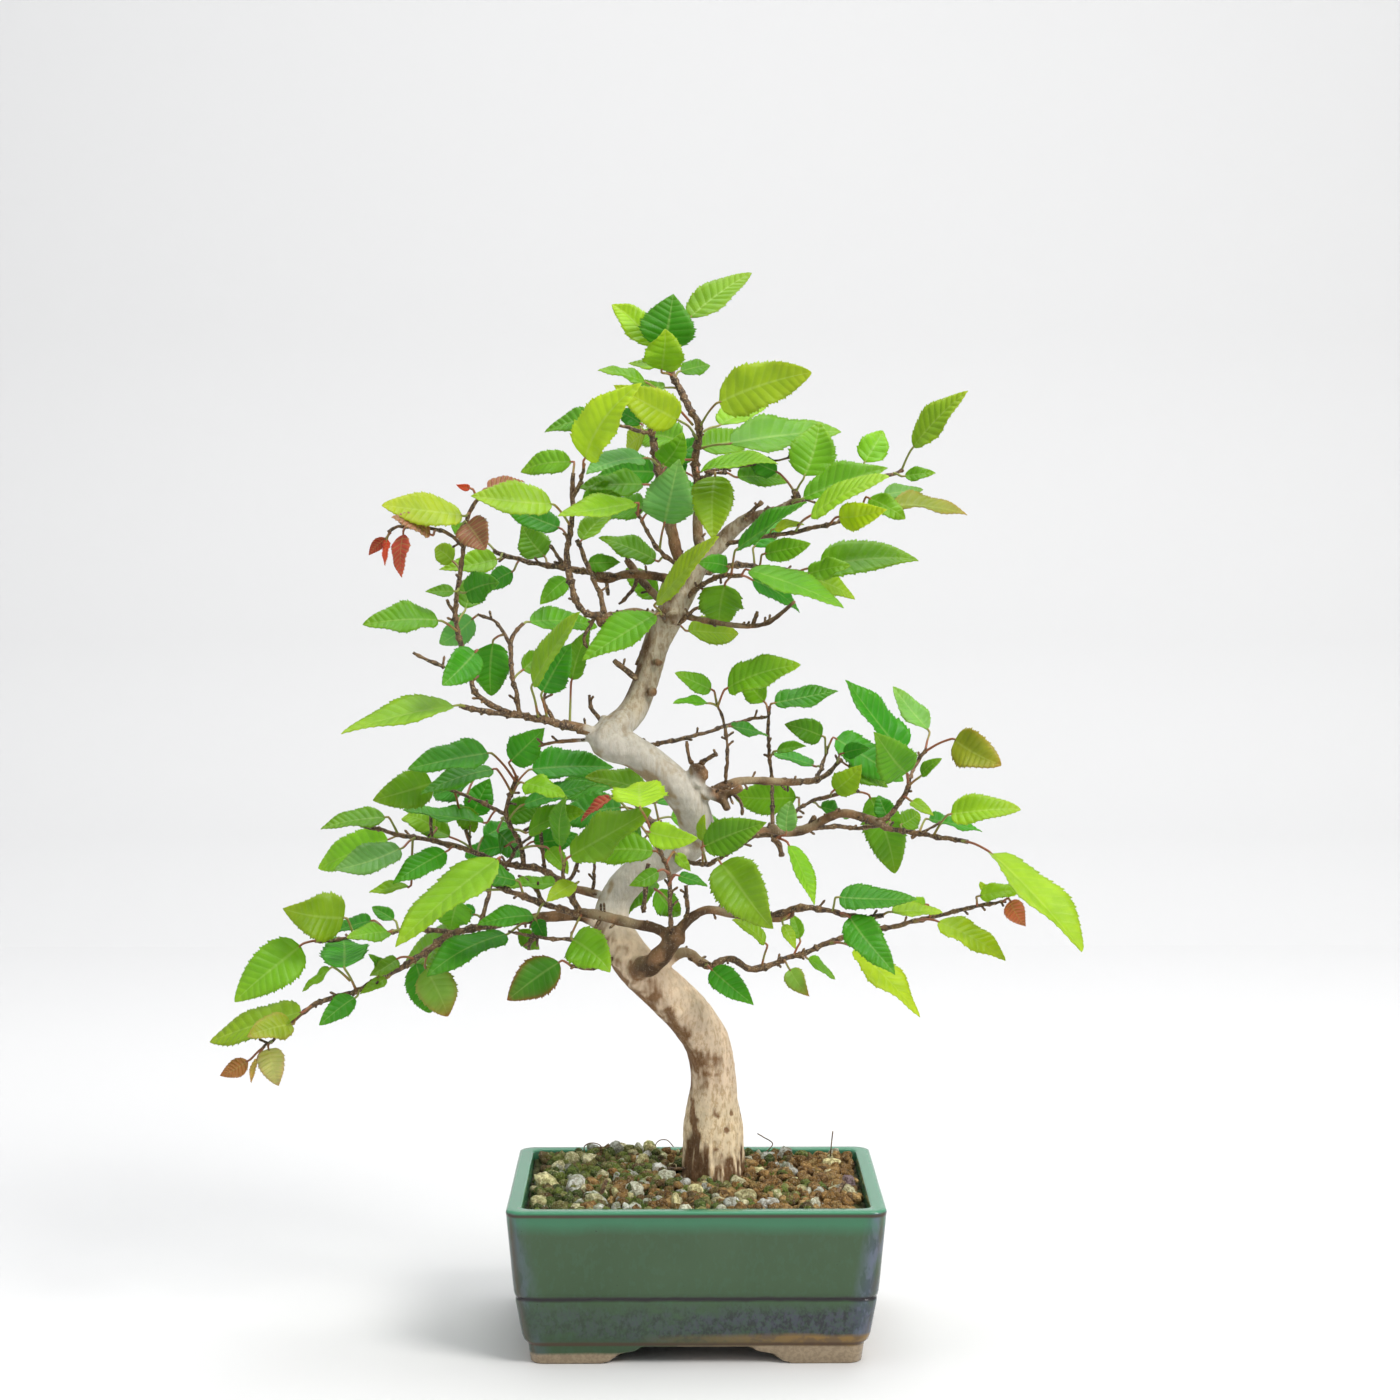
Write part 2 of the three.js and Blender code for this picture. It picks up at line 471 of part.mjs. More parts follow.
// Each spray: its colour, its twigs (first radius, last radius, places), its leaves, and the spray that
// carries it if that is not a stout branch. A leaf's row holds the place where its stalk leaves the twig,
// the place where the blade starts, the place of its point, and the width that is seen from the front.
const SPRAYS = {
  low_left: [LEAF_GREEN, [
    [1.9, 0.9, [[-62, 171, -1], [-79.7, 168.5, -5], [-100, 164, -8], [-109.5, 157, -10],
      [-124, 148.5, -12], [-138.5, 141, -13], [-155, 135.5, -14], [-169, 125, -15]]],
    [1.2, 0.9, [[-98, 164.6, -8], [-115, 166.5, -7], [-130, 163.5, -5], [-155, 161.3, -4]]],
  ], [
    [[-156, 135.2, -14], [-161, 132, -16], [-199.5, 121, -8], 11],
    [[-163, 130.5, -14.5], [-166, 126, -18], [-181.5, 124, -30], 9],
    [[-137, 141.5, -13], [-139, 138, -17], [-154, 126.5, -22], 9],
    [[-139, 162.5, -5], [-144, 171, -9], [-169, 175, -16], 18],
    [[-152, 161.5, -4], [-162.5, 159.3, -8], [-187.5, 137, -14], 17],
    [[-126, 164.5, -5], [-132, 169.5, 3], [-151, 164, 8], 6],
    [[-120, 165.5, -6], [-125, 165, -12], [-142, 163, -20], 7],
    [[-138.5, 141, -13], [-143.3, 150.5, -17], [-144.5, 161, 6], 20],
    [[-115, 154, -11], [-121.5, 154, -17], [-133, 147, -23], 7],
    [[-109, 157.5, -10], [-110, 150, -5], [-101, 130, -3], 17],
    [[-106, 160, -9], [-114, 152, 10], [-107, 131, 16], 15],
    [[-92, 165.5, -7], [-96, 163, 6], [-117, 152, 26], 13],
    [[-66, 170.5, -2], [-77, 164, -10], [-110, 148, -21], 12],
  ]],
  low_left_young: [LEAF_YOUNG, [
    [0.8, 0.6, [[-167, 126.5, -15], [-171, 122, -12], [-177, 117, -11]]],
  ], [
    [[-176, 118, -11], [-183, 112, -11], [-195, 105, -12], 8],
    [[-173, 120, -11.4], [-174.5, 117, -16], [-171, 102, -20], 11],
  ], 'low_left'],
  low_left_inner: [LEAF_GREEN, [
    [0.9, 0.7, [[-30, 157, 0], [-40.5, 150, -8], [-51.5, 151.3, -11]]],
  ], [
    [[-51, 151.2, -11], [-57, 151.5, -11], [-76, 137, -12], 16],
  ]],
  low_left_front: [LEAF_BRIGHT, [
    [1.8, 1, [[-40, 172, -13.4], [-54, 174, -14], [-68, 179, -17], [-85, 185.5, -21]]],
    [1, 0.7, [[-48, 173.2, -13.8], [-53, 183, -20], [-54, 194, -26]]],
  ], [
    [[-83, 184.6, -20.5], [-80.5, 195, -28], [-123.5, 161.5, -44], 14],
    [[-78, 182.5, -19.5], [-97, 178.5, -17], [-100, 166, -12], 15],
    [[-62, 176.8, -16], [-66, 171.5, -22], [-89, 167.5, -26], 8],
    [[-46, 173, -13.6], [-50, 162, -20], [-35, 149.5, -26], 18],
    [[-53.8, 193, -26], [-51, 196, -28], [-17, 214, -34], 16],
    [[-52.5, 182, -19], [-57, 184.5, -14], [-80, 184.5, -10], 5],
  ]],
  front_shoot: [LEAF_BRIGHT, [
    [1.1, 0.8, [[-9, 161, -13], [-10.4, 172, -19], [-10.5, 186, -22], [-12.4, 194, -24],
      [-18, 206, -38]]],
  ], [
    [[-12.4, 194, -24], [-17, 198, -22], [-47, 196, -17], 13],
    [[-17.3, 204, -37], [-19, 206, -42], [0.5, 203, -46], 11],
    [[-17.6, 205.3, -37.4], [-22.4, 216, -45], [-22.8, 227, -26], 22],
  ]],
  left_middle: [LEAF_GREEN, [
    [1.6, 0.9, [[-53.8, 184, 15], [-64.5, 190.8, 18], [-80, 193.5, 20], [-97, 200.2, 21],
      [-120.5, 205, 22], [-136, 209.3, 22]]],
    [1.3, 0.9, [[-70.5, 191.8, 18.8], [-71, 200, 17], [-77, 214, 12], [-72.5, 228.7, 9]]],
    [0.9, 0.7, [[-76.8, 213, 12.4], [-88, 218.5, 12], [-103, 224.5, 12]]],
  ], [
    [[-118, 204.5, 22], [-125, 203, 28], [-154, 191.5, 36], 14],
    [[-114, 203.8, 21.5], [-120, 199.3, 15], [-147, 190, 6], 13],
    [[-121, 205.1, 22], [-126, 212, 20], [-152.5, 208, 16], 9],
    [[-98, 200.4, 21], [-101.5, 198, 17], [-123.5, 185.5, 9], 11],
    [[-92, 198.5, 20.6], [-91, 213, 24], [-83.5, 228, 26], 13],
    [[-102, 224.1, 12], [-107, 226, 12], [-131, 219, 8], 17],
    [[-93, 220.5, 12], [-91, 227, 17], [-106, 221, 32], 11],
    [[-73, 226.5, 9.5], [-84, 238, 0], [-117, 231, -7], 12],
    [[-74.5, 221.5, 10], [-82, 231.5, 4], [-112, 222.5, -2], 9],
    [[-72.6, 228, 9], [-75, 235, 5], [-61.7, 247.6, 0], 15],
    [[-73.5, 225, 9.6], [-66.5, 231.5, 12], [-33, 233, 18], 13],
    [[-76, 211, 13], [-70, 217, 7], [-40, 226, 2], 7],
  ]],
  front_right: [LEAF_BRIGHT, [
    [1.1, 0.8, [[-5, 194, 0], [3, 192.5, -9], [9.6, 195, -14], [25.5, 204.5, -18], [35, 203.3, -20]]],
  ], [
    [[4.5, 193, -10.5], [3.5, 200, -18], [29.5, 210, -24], 15],
    [[9, 194.8, -13.6], [10.5, 193, -22], [30.5, 166.5, -32], 22],
    [[33, 203.4, -19.7], [37, 206, -22], [38.8, 218.7, -21], 9],
    [[34, 203.3, -19.9], [38, 200.5, -22], [48, 175.5, -27], 7.5],
  ]],
  right_low: [LEAF_GREEN, [
    [1.6, 0.9, [[34, 170.5, -15], [43.5, 174.7, -18], [55, 173.2, -21], [66, 170.8, -24],
      [77, 171.3, -25]]],
  ], [
    [[56, 173, -21.2], [58.5, 179, -25], [90.5, 178.4, -30], 10],
    [[76, 171.3, -25], [80, 173, -25], [101, 173, -23], 5],
    [[59, 172.4, -22.2], [63, 171, -28], [82, 148.5, -37], 15],
  ]],
  right_lowest: [LEAF_BRIGHT, [
    [1.9, 0.9, [[1, 153.5, 0.7], [5.3, 150.8, 1], [14, 154, 3], [24, 149.6, 5], [40.7, 155, 6],
      [61.3, 162.8, 5], [81.3, 167.3, 3], [109.5, 174, -0.8]]],
  ], [
    [[4, 151.3, 0.8], [6.5, 149.5, -6], [23.7, 134.2, -12], 12],
    [[27, 150.3, 5.3], [28.5, 160, 1], [15, 170, -2], 6],
    [[36, 153.4, 5.8], [38.5, 149.5, 1], [46.2, 138.4, -4], 9],
    [[54.7, 160.3, 5.5], [65, 158, -3], [92.4, 130.3, -12], 11],
    [[89, 169, 2], [99, 169, -6], [127.3, 154.7, -13], 10],
  ]],
  right_lowest_young: [LEAF_YOUNG, [
    [0.9, 0.7, [[106, 173.2, -0.5], [118.5, 176, -3], [127, 177.3, -4]]],
  ], [
    [[115, 175.4, -2.4], [116, 179.5, -6], [133.5, 183, -9], 7],
    [[125.5, 177.1, -3.8], [128.5, 177.5, -7], [135, 167, -10], 9],
  ], 'right_lowest'],
  right_middle: [LEAF_GREEN, [
    [1.7, 0.9, [[70.5, 211.3, 6], [82.7, 206.5, 4], [111, 202, -2]]],
    [1.2, 1, [[43, 206.5, 10], [57.7, 208.4, 13.5], [66.2, 207.4, 13.5], [77, 209.3, 5.2]]],
    [1.4, 1, [[75, 209.8, 5.6], [80, 213.5, 6], [86, 223, 4], [86.5, 229, 4]]],
    [0.9, 0.7, [[86.5, 227, 4], [90, 234, 10], [94, 240, 11]]],
  ], [
    [[108, 202.4, -1.4], [120.5, 197, -10], [158.7, 155.8, -30], 12],
    [[97, 204.3, 1], [104, 213, -5], [132, 216.5, -10], 12],
    [[91, 205, 2], [95, 211, 10], [117, 206.3, 14], 6],
    [[86.4, 227.5, 4], [84, 238, 7], [61, 268, 0], 15],
    [[86.4, 226, 4], [86, 230, -3], [74, 245.5, -15], 18],
    [[93.5, 239.3, 11], [94.5, 247.5, 14], [80, 265, 20], 9],
    [[93.2, 238.6, 11], [105.5, 243.5, 6], [124.5, 233, -4], 17],
  ]],
  right_middle_upper: [LEAF_GREEN, [
    [0.9, 0.7, [[37, 206.5, 10], [42.5, 215.8, 12], [55.8, 221, 14], [67, 222.5, 16]]],
  ], [
    [[65.5, 222.3, 15.8], [71, 220, 19], [81.5, 189.5, 24], 18],
    [[55, 220.7, 14], [56.5, 223, 7], [67.5, 233, 0], 12],
    [[42.3, 215.3, 12], [41, 220, 22], [17, 221, 30], 11],
  ]],
  right_upper: [LEAF_GREEN, [
    [1.5, 0.9, [[37.6, 226.3, 10], [49.6, 227.2, 14], [59.5, 235.7, 18]]],
    [0.9, 0.7, [[48.5, 227, 13.6], [52.5, 235, 22], [54, 241, 22]]],
  ], [
    [[53.8, 240, 22], [57, 244, 22], [85, 227, 20], 15],
    [[53, 238, 22], [51.5, 245, 18], [36, 250, 16], 11],
  ]],
  right_twig_behind: [LEAF_GREEN, [
    [0.9, 0.7, [[31.6, 206, 10], [31.5, 216, 14], [31, 228.4, 20], [29.8, 240, 17], [29.8, 257, 12]]],
  ], [
    [[29.8, 255.5, 12.4], [32, 258.5, 9], [58, 263.4, 10], 9],
    [[29.8, 253.5, 13], [28, 259, 17], [19, 269, 22], 11],
  ]],
  right_twig_front: [LEAF_GREEN, [
    [0.8, 0.6, [[11.6, 224.7, -1], [13, 235, -5], [12.3, 247, -6], [8.6, 258.3, -6]]],
  ], [
    [[9, 257, -6], [13, 264.5, -10], [41.5, 275, -17], 13],
    [[8.8, 257.6, -6], [6.5, 264, -4], [-8.5, 270.7, -7], 8],
  ]],
  apex_low_right: [LEAF_GREEN, [
    [1.2, 0.9, [[-4, 301, 4], [3, 307, -2], [11, 310, -7], [19, 310, -10]]],
  ], [
    [[16, 310.2, -9], [12, 306.5, -1], [9.5, 289, 8], 19],
    [[14.5, 310.2, -8.4], [17, 321, -17], [45.5, 339.5, -28], 8],
    [[18.5, 310, -9.8], [21.5, 312.5, -14], [60.5, 299.5, -24], 10],
    [[17.5, 310.1, -9.6], [23, 308.5, -3], [43, 296, 4], 10],
  ]],
  apex_low_behind: [LEAF_GREEN, [], [
    [[-9, 291.5, 5], [-3, 288, 12], [18, 287, 22], 11],
  ]],
  left_high: [LEAF_GREEN, [
    [1.9, 0.9, [[-46, 248.3, -7.4], [-63.7, 252.3, -10], [-77.7, 254.2, -12], [-96, 257.5, -15]]],
    [1.3, 0.9, [[-73, 253.6, -11.3], [-87, 260.5, -12], [-91.5, 270, -12], [-97, 294, -12],
      [-94.5, 315, -14], [-92, 333, -15], [-87, 342.5, -16]]],
    [1.1, 0.8, [[-71, 253.4, -11], [-74, 269.8, -9], [-74.5, 284.3, -7], [-69.5, 291, -6]]],
    [0.8, 0.6, [[-74.4, 281, -7.4], [-80, 290.5, -3], [-88, 295, -1]]],
  ], [
    [[-93, 257, -14.5], [-98, 257.5, -18], [-144, 248, -27], 9],
    [[-63.7, 252.3, -10], [-66, 266, -23], [-47.5, 296, -33], 8],
    [[-60, 251.8, -9.4], [-62, 263, -15], [-50, 283, -19], 15],
    [[-51, 249.8, -8.2], [-50, 268, -4], [-42.5, 289, -1], 10],
    [[-93, 276, -12], [-89, 279.5, -19], [-102.5, 266, -28], 14],
    [[-95.6, 287, -12], [-104, 292, -15], [-134.5, 291, -22], 11],
    [[-87, 294.3, -1.2], [-90, 293, 4], [-104.5, 282, 10], 12],
    [[-77.5, 286.5, -5], [-82, 283, 1], [-83, 261, 6], 17],
    [[-70, 290.3, -6], [-67, 291.5, -2], [-40, 289, 8], 9],
    [[-95.9, 303, -13], [-93, 303.5, -19], [-79, 307.5, -26], 13],
    [[-91, 335.5, -15.2], [-94, 334.5, -19], [-127, 338, -27], 12],
  ]],
  left_high_young: [LEAF_YOUNG, [
    [0.8, 0.6, [[-93.3, 324.5, -14.5], [-103, 328.5, -19], [-118, 330, -22], [-124, 327.5, -22]]],
  ], [
    [[-105, 328.8, -19.4], [-107, 327, -23], [-123, 333.5, -29], 7],
    [[-123, 327.9, -22], [-125, 325.5, -22], [-132, 318.5, -22], 5],
    [[-117, 329.9, -22], [-118, 327, -25], [-118.5, 309.5, -29], 7],
    [[-96.5, 326, -16], [-92.5, 331.5, -20], [-84.5, 320.5, -25], 14],
  ], 'left_high'],
  upper_left: [LEAF_BRIGHT, [
    [1.7, 1, [[-36, 293.5, -4], [-45, 295.5, -7], [-50.5, 308, -8], [-52, 320, -8], [-50, 332, -9],
      [-49.5, 352, -10]]],
    [1.2, 0.9, [[-37, 293.6, -4.4], [-38.5, 302, -2], [-43, 313, 1], [-48, 325, 1]]],
    [0.9, 0.7, [[-49.8, 341, -9.5], [-46.5, 348, -12], [-45, 355, -17]]],
  ], [
    [[-50.3, 330, -9], [-58, 339, -16], [-89.5, 343.5, -26], 13],
    [[-51, 325, -8.4], [-55, 329.5, -5], [-76, 338, -1], 10],
    [[-45.1, 354, -16.3], [-44.5, 357.5, -19], [-23.5, 388, -28], 17],
    [[-49.6, 347, -9.8], [-50, 356, -6], [-71, 352.5, 0], 10],
    [[-46.5, 321, 1], [-46, 324.5, 4], [-33.5, 337, 10], 8],
    [[-42.5, 312, 0.8], [-43.5, 315.5, 5], [-30.5, 315.5, 9], 8],
  ]],
  upper_left_far: [LEAF_GREEN, [
    [1.6, 0.9, [[-36, 308.7, 9], [-48, 312.5, 7], [-66, 315.5, 7], [-82, 320.5, 7]]],
  ], [
    [[-60, 314.5, 7], [-61, 318, 11], [-70, 331, 18], 14],
    [[-78, 319.2, 7], [-80, 317, 3], [-103.5, 312, -1], 10],
    [[-52, 313.1, 7], [-52, 309, 2], [-62.5, 299, -3], 9],
  ]],
  trunk_front: [LEAF_BRIGHT, [
    [0.9, 0.8, [[-12, 292, 1], [-13.5, 294.5, -6]]],
  ], [
    [[-13.3, 294.2, -5], [-16, 294.5, -9], [-46, 276, -17], 13],
    [[-13.2, 294, -4.6], [-16, 299, -10], [8, 327, -21], 7],
  ]],
  leader_stem: [LEAF_BRIGHT, [
    [1, 0.7, [[-5.5, 314, 6.4], [-14, 320, -1], [-20, 329, -3], [-24, 336, -5]]],
  ], [
    [[-23.3, 334.5, -4.8], [-24, 339.5, -8], [-55.5, 335, -18], 9],
    [[-14.5, 320.8, -1.2], [-12.5, 331.5, -15], [-7, 356, -24], 21],
    [[-12.5, 318, 0.6], [-16, 316.5, 5], [-39, 326, 6], 10],
  ]],
  leader_behind: [LEAF_GREEN, [], [
    [[-12, 309.8, 7.2], [-16, 301, 17], [-28, 313, 24], 11],
  ]],
  leader_top: [LEAF_GREEN, [
    [1.9, 1.3, [[-12.5, 341, 8.8], [-14.6, 352, 9.3], [-17.5, 368, 10], [-16.5, 375, 10]]],
    [0.8, 0.6, [[-17.4, 367.5, 10], [-26, 369.5, 8], [-36, 372.5, 8]]],
  ], [
    [[-13.2, 345, 9], [-21, 347, 3], [-47, 345, -1], 10],
    [[-15, 354.5, 9.3], [-21, 357.5, -3], [-44, 351, -13], 9],
    [[-16.9, 364, 9.8], [-20, 368, 17], [-28, 361.5, 30], 10],
    [[-35, 372.2, 8], [-39, 373, 11], [-61, 369.5, 15], 7],
  ]],
  second_leader: [LEAF_GREEN, [
    [1.9, 1.2, [[1.3, 338, 9], [1.5, 346, 8.8], [0, 356, 7], [1.5, 370, 5], [-1.5, 376, 5], [-5, 383, 7],
      [-9, 391, 8], [-9, 402, 11], [-4, 412, 13]]],
    [0.9, 0.7, [[1.2, 348, 8.5], [5.5, 351, 2], [12, 352.3, -2]]],
  ], [
    [[8, 351.8, 0], [8, 349.5, -6], [6, 325, -14], 16],
    [[0.4, 353, 7.6], [2, 352.2, -10], [33, 357, -20], 6],
    [[0.1, 357, 6.9], [-13, 355, -5], [-5, 367, -11], 12],
    [[0.6, 361, 6.4], [14, 363.5, 4], [59, 369.5, 12], 15],
    [[1.2, 367, 5.5], [10, 371, 13], [30, 381, 24], 9],
    [[1.4, 369.5, 5.2], [9.5, 380, -4], [47, 392, -11], 20],
    [[1, 365, 5.8], [-7, 371, -12], [-40, 391.5, -19], 16],
    [[-8.8, 390.5, 8], [-12.5, 392, 4], [-13, 407, -3], 15],
    [[-9.3, 399, 10.3], [-17, 403, 12], [-33.5, 420, 17], 13],
    [[-9, 402, 11], [-11, 406, 10], [-8, 423.5, 12], 16],
    [[-5, 410, 12.7], [-2, 414, 14], [22.5, 433, 20], 12],
  ]],
  right_end: [LEAF_GREEN, [
    [2.2, 1.4, [[32, 335.8, -1], [37, 338, -2], [41, 341, -3], [40, 345, -3]]],
    [1, 0.7, [[37, 338, -2], [50, 343, 6], [65, 346.5, 9], [84, 353, 12]]],
  ], [
    [[38.5, 339.2, -2.4], [43.5, 341.5, -10], [77, 355, -15], 12],
    [[40.4, 343.6, -3], [44, 350.5, -6], [50, 373, -2], 20],
    [[75, 349.7, 10.6], [68.5, 356, 9], [75.5, 368.5, 14], 13],
    [[83.3, 352.8, 12], [88, 362, 9], [109.5, 385, 2], 11],
  ]],
  right_lower_twig: [LEAF_BRIGHT, [
    [1, 0.8, [[9, 322.5, 5], [22, 325, 0], [40, 328, -5], [54, 331, -8], [66, 334, -7], [76, 340, 0]]],
  ], [
    [[40.5, 328.1, -5.2], [46.5, 334.5, -18], [77, 352, -28], 8],
    [[54.5, 331.2, -8], [58, 334, -12], [77.5, 337, -20], 12],
    [[66, 334, -7], [70, 341.5, -11], [85, 333, -16], 8],
    [[75.2, 339.5, -0.6], [79, 338.5, -2], [110, 335.5, -4], 7],
    [[74, 338.6, -1.4], [76, 343, 3], [92, 344.5, 6], 6],
  ]],
  right_behind: [LEAF_GREEN, [
    [1.5, 0.9, [[2, 311.5, 6], [17, 314.5, 14], [32, 312.5, 18], [42, 311.5, 20]]],
  ], [
    [[41, 311.6, 19.8], [50, 313.5, 14], [90, 318, 9], 16],
    [[35, 312.2, 18.6], [45.5, 311, 7], [62, 315, 1], 9],
    [[38, 311.9, 19.2], [48.5, 309, 25], [65, 301, 28], 9],
  ]],
  back_low: [LEAF_GREEN, [
    [2.4, 1, [[-8, 197, 4], [-14, 206, 18], [-22, 214, 32], [-26, 222, 42]]],
  ], [
    [[-22, 213.5, 31], [-30, 216, 28], [-62, 212, 34], 14],
    [[-25, 219.5, 39], [-34, 224, 46], [-58, 222, 60], 14],
    [[-25.7, 221, 41], [-20, 226, 47], [-8, 226, 64], 14],
  ]],
  back_high: [LEAF_GREEN, [
    [1.6, 0.9, [[-9, 326, 7.6], [-14, 338, 19], [-10, 350, 30], [-4, 360, 38]]],
  ], [
    [[-11, 347, 28], [-16, 352, 34], [-40, 350, 44], 14],
    [[-5, 358.5, 37], [-6, 364, 43], [-22, 366, 60], 13],
    [[-4.2, 359.5, 37.8], [2, 362, 43], [22, 366, 56], 14],
  ]],
};

function twigs(rows, grow) {
  return rows.map(([first, last, places]) => {
    const points = places.map((point) => place(point));
    return limb(points, evenRadii(first, last, points.length), first > 1.65 ? 5 : 4, grow);
  });
}

function spray([, twigRows, leafRows, carrier], treeRoom) {
  const room = carrier ? treeRoom.add(fuse(twigs(SPRAYS[carrier][1], GAP))) : treeRoom;
  return fuse([...twigs(twigRows, 0), ...leafRows.map((row) => leaf(row))]).subtract(room);
}

// Assembly

const treeRoom = tree(GAP);
const group = new THREE.Group();
group.add(node('pot', pot(), '#4f8a6c', 0.3));
group.add(node('drain_screen_left', screen(-DRAIN_SPACING / 2), '#20242a', 0.7));
group.add(node('drain_screen_right', screen(DRAIN_SPACING / 2), '#20242a', 0.7));
group.add(node('soil', soil(treeRoom), '#7a5a34', 0.95));
group.add(node('trunk', tree(0), '#b09a78', 0.85));
for (const [name, row] of Object.entries(SPRAYS)) {
  group.add(node(`spray_${name}`, spray(row, treeRoom), row[0], 0.6));
}

const whole = new THREE.Box3().setFromObject(group);
const middle = whole.getCenter(new THREE.Vector3());
group.position.set(-middle.x, -middle.y, -whole.min.z);
group.updateMatrixWorld(true);

export default group;
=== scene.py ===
import math
import random

import bmesh
import bpy
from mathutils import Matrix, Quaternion, Vector, noise
from mathutils.kdtree import KDTree


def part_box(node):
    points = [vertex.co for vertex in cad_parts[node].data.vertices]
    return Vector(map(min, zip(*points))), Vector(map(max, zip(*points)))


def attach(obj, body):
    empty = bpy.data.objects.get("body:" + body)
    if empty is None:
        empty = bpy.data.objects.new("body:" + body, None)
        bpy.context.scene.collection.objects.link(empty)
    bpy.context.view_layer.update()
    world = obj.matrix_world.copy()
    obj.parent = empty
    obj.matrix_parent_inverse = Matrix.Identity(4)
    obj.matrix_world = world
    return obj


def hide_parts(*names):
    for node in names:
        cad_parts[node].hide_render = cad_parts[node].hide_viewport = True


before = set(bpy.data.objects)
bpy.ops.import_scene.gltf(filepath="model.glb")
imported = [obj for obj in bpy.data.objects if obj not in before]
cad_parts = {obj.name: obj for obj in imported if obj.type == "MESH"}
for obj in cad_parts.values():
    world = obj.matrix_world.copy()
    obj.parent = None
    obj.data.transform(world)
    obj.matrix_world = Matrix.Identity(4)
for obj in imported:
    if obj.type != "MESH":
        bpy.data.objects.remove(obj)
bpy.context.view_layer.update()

# Trunk and stout branches
# The trunk was bent as a young plant and has grown into these curves. It is one piece of wood with its stout
# branches; the bark is cream and flaking at the foot, smooth and silvery in the middle, brown above.

pot_low, pot_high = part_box("pot")
POT_X = (pot_low[0] + pot_high[0]) / 2
POT_Y = (pot_low[1] + pot_high[1]) / 2
POT_TOP = pot_high[2]

# Places on the tree are written in millimetres as seen from the front: x and z where the line of sight meets
# the upright plane through the pot's middle, and how far the point lies behind that plane.
FRONT_EYE = Vector((-8.4, -1181, 344.3))
CROWN_DEPTH = 1.6


def on_tree(x, z, behind):
    seen = Vector((x, 0, z)) - FRONT_EYE
    spot = FRONT_EYE + seen * (1 + behind * CROWN_DEPTH / -FRONT_EYE.y)
    return Vector((spot.x / 1000 + POT_X, spot.y / 1000 + POT_Y, spot.z / 1000))


# Each row: place, and the radius in millimetres.
TRUNK_LINE = [
    (7.5, 46, 7, 11), (7.8, 62, 7, 13.0), (7.6, 75, 7, 12.3), (7.3, 85, 7, 11.7), (7.2, 95, 6.5, 10.2),
    (7.2, 106, 6, 9.2), (4.6, 119, 5, 9.1), (-3, 131, 3, 9.3), (-12, 140, 1, 9.0), (-22, 149, 0, 8.6),
    (-29, 158, 1, 8.2), (-34, 169, 5, 7.2), (-32, 179, 6, 6.8), (-24, 188.5, 4, 6.8), (-10, 196, 2, 7.0),
    (0, 204, 0, 7.2), (-0.5, 213.5, -4, 7.1), (-6, 222.5, -7, 6.9), (-15, 231.5, -7, 6.6),
    (-25, 238.6, -6, 6.6), (-34, 241.8, -6, 7.2), (-38, 244, -6, 6.0), (-33, 248, -5, 5.9),
    (-26, 254.5, -1, 5.5), (-21.5, 264, 2, 5.2), (-18, 275, 3, 5.1), (-15.5, 284, 4, 5.5),
    (-12.5, 291, 4, 6.2), (-8.5, 298, 4, 5.6), (-5, 304, 5, 5.4), (-2, 310, 5, 5.2), (3, 317, 5, 4.4),
    (10, 323.5, 5, 3.7), (16, 329.5, 4, 3.0), (22, 333.5, 2, 2.4), (32, 335.8, -1, 2.1), (41, 341, -3, 1.5),
]
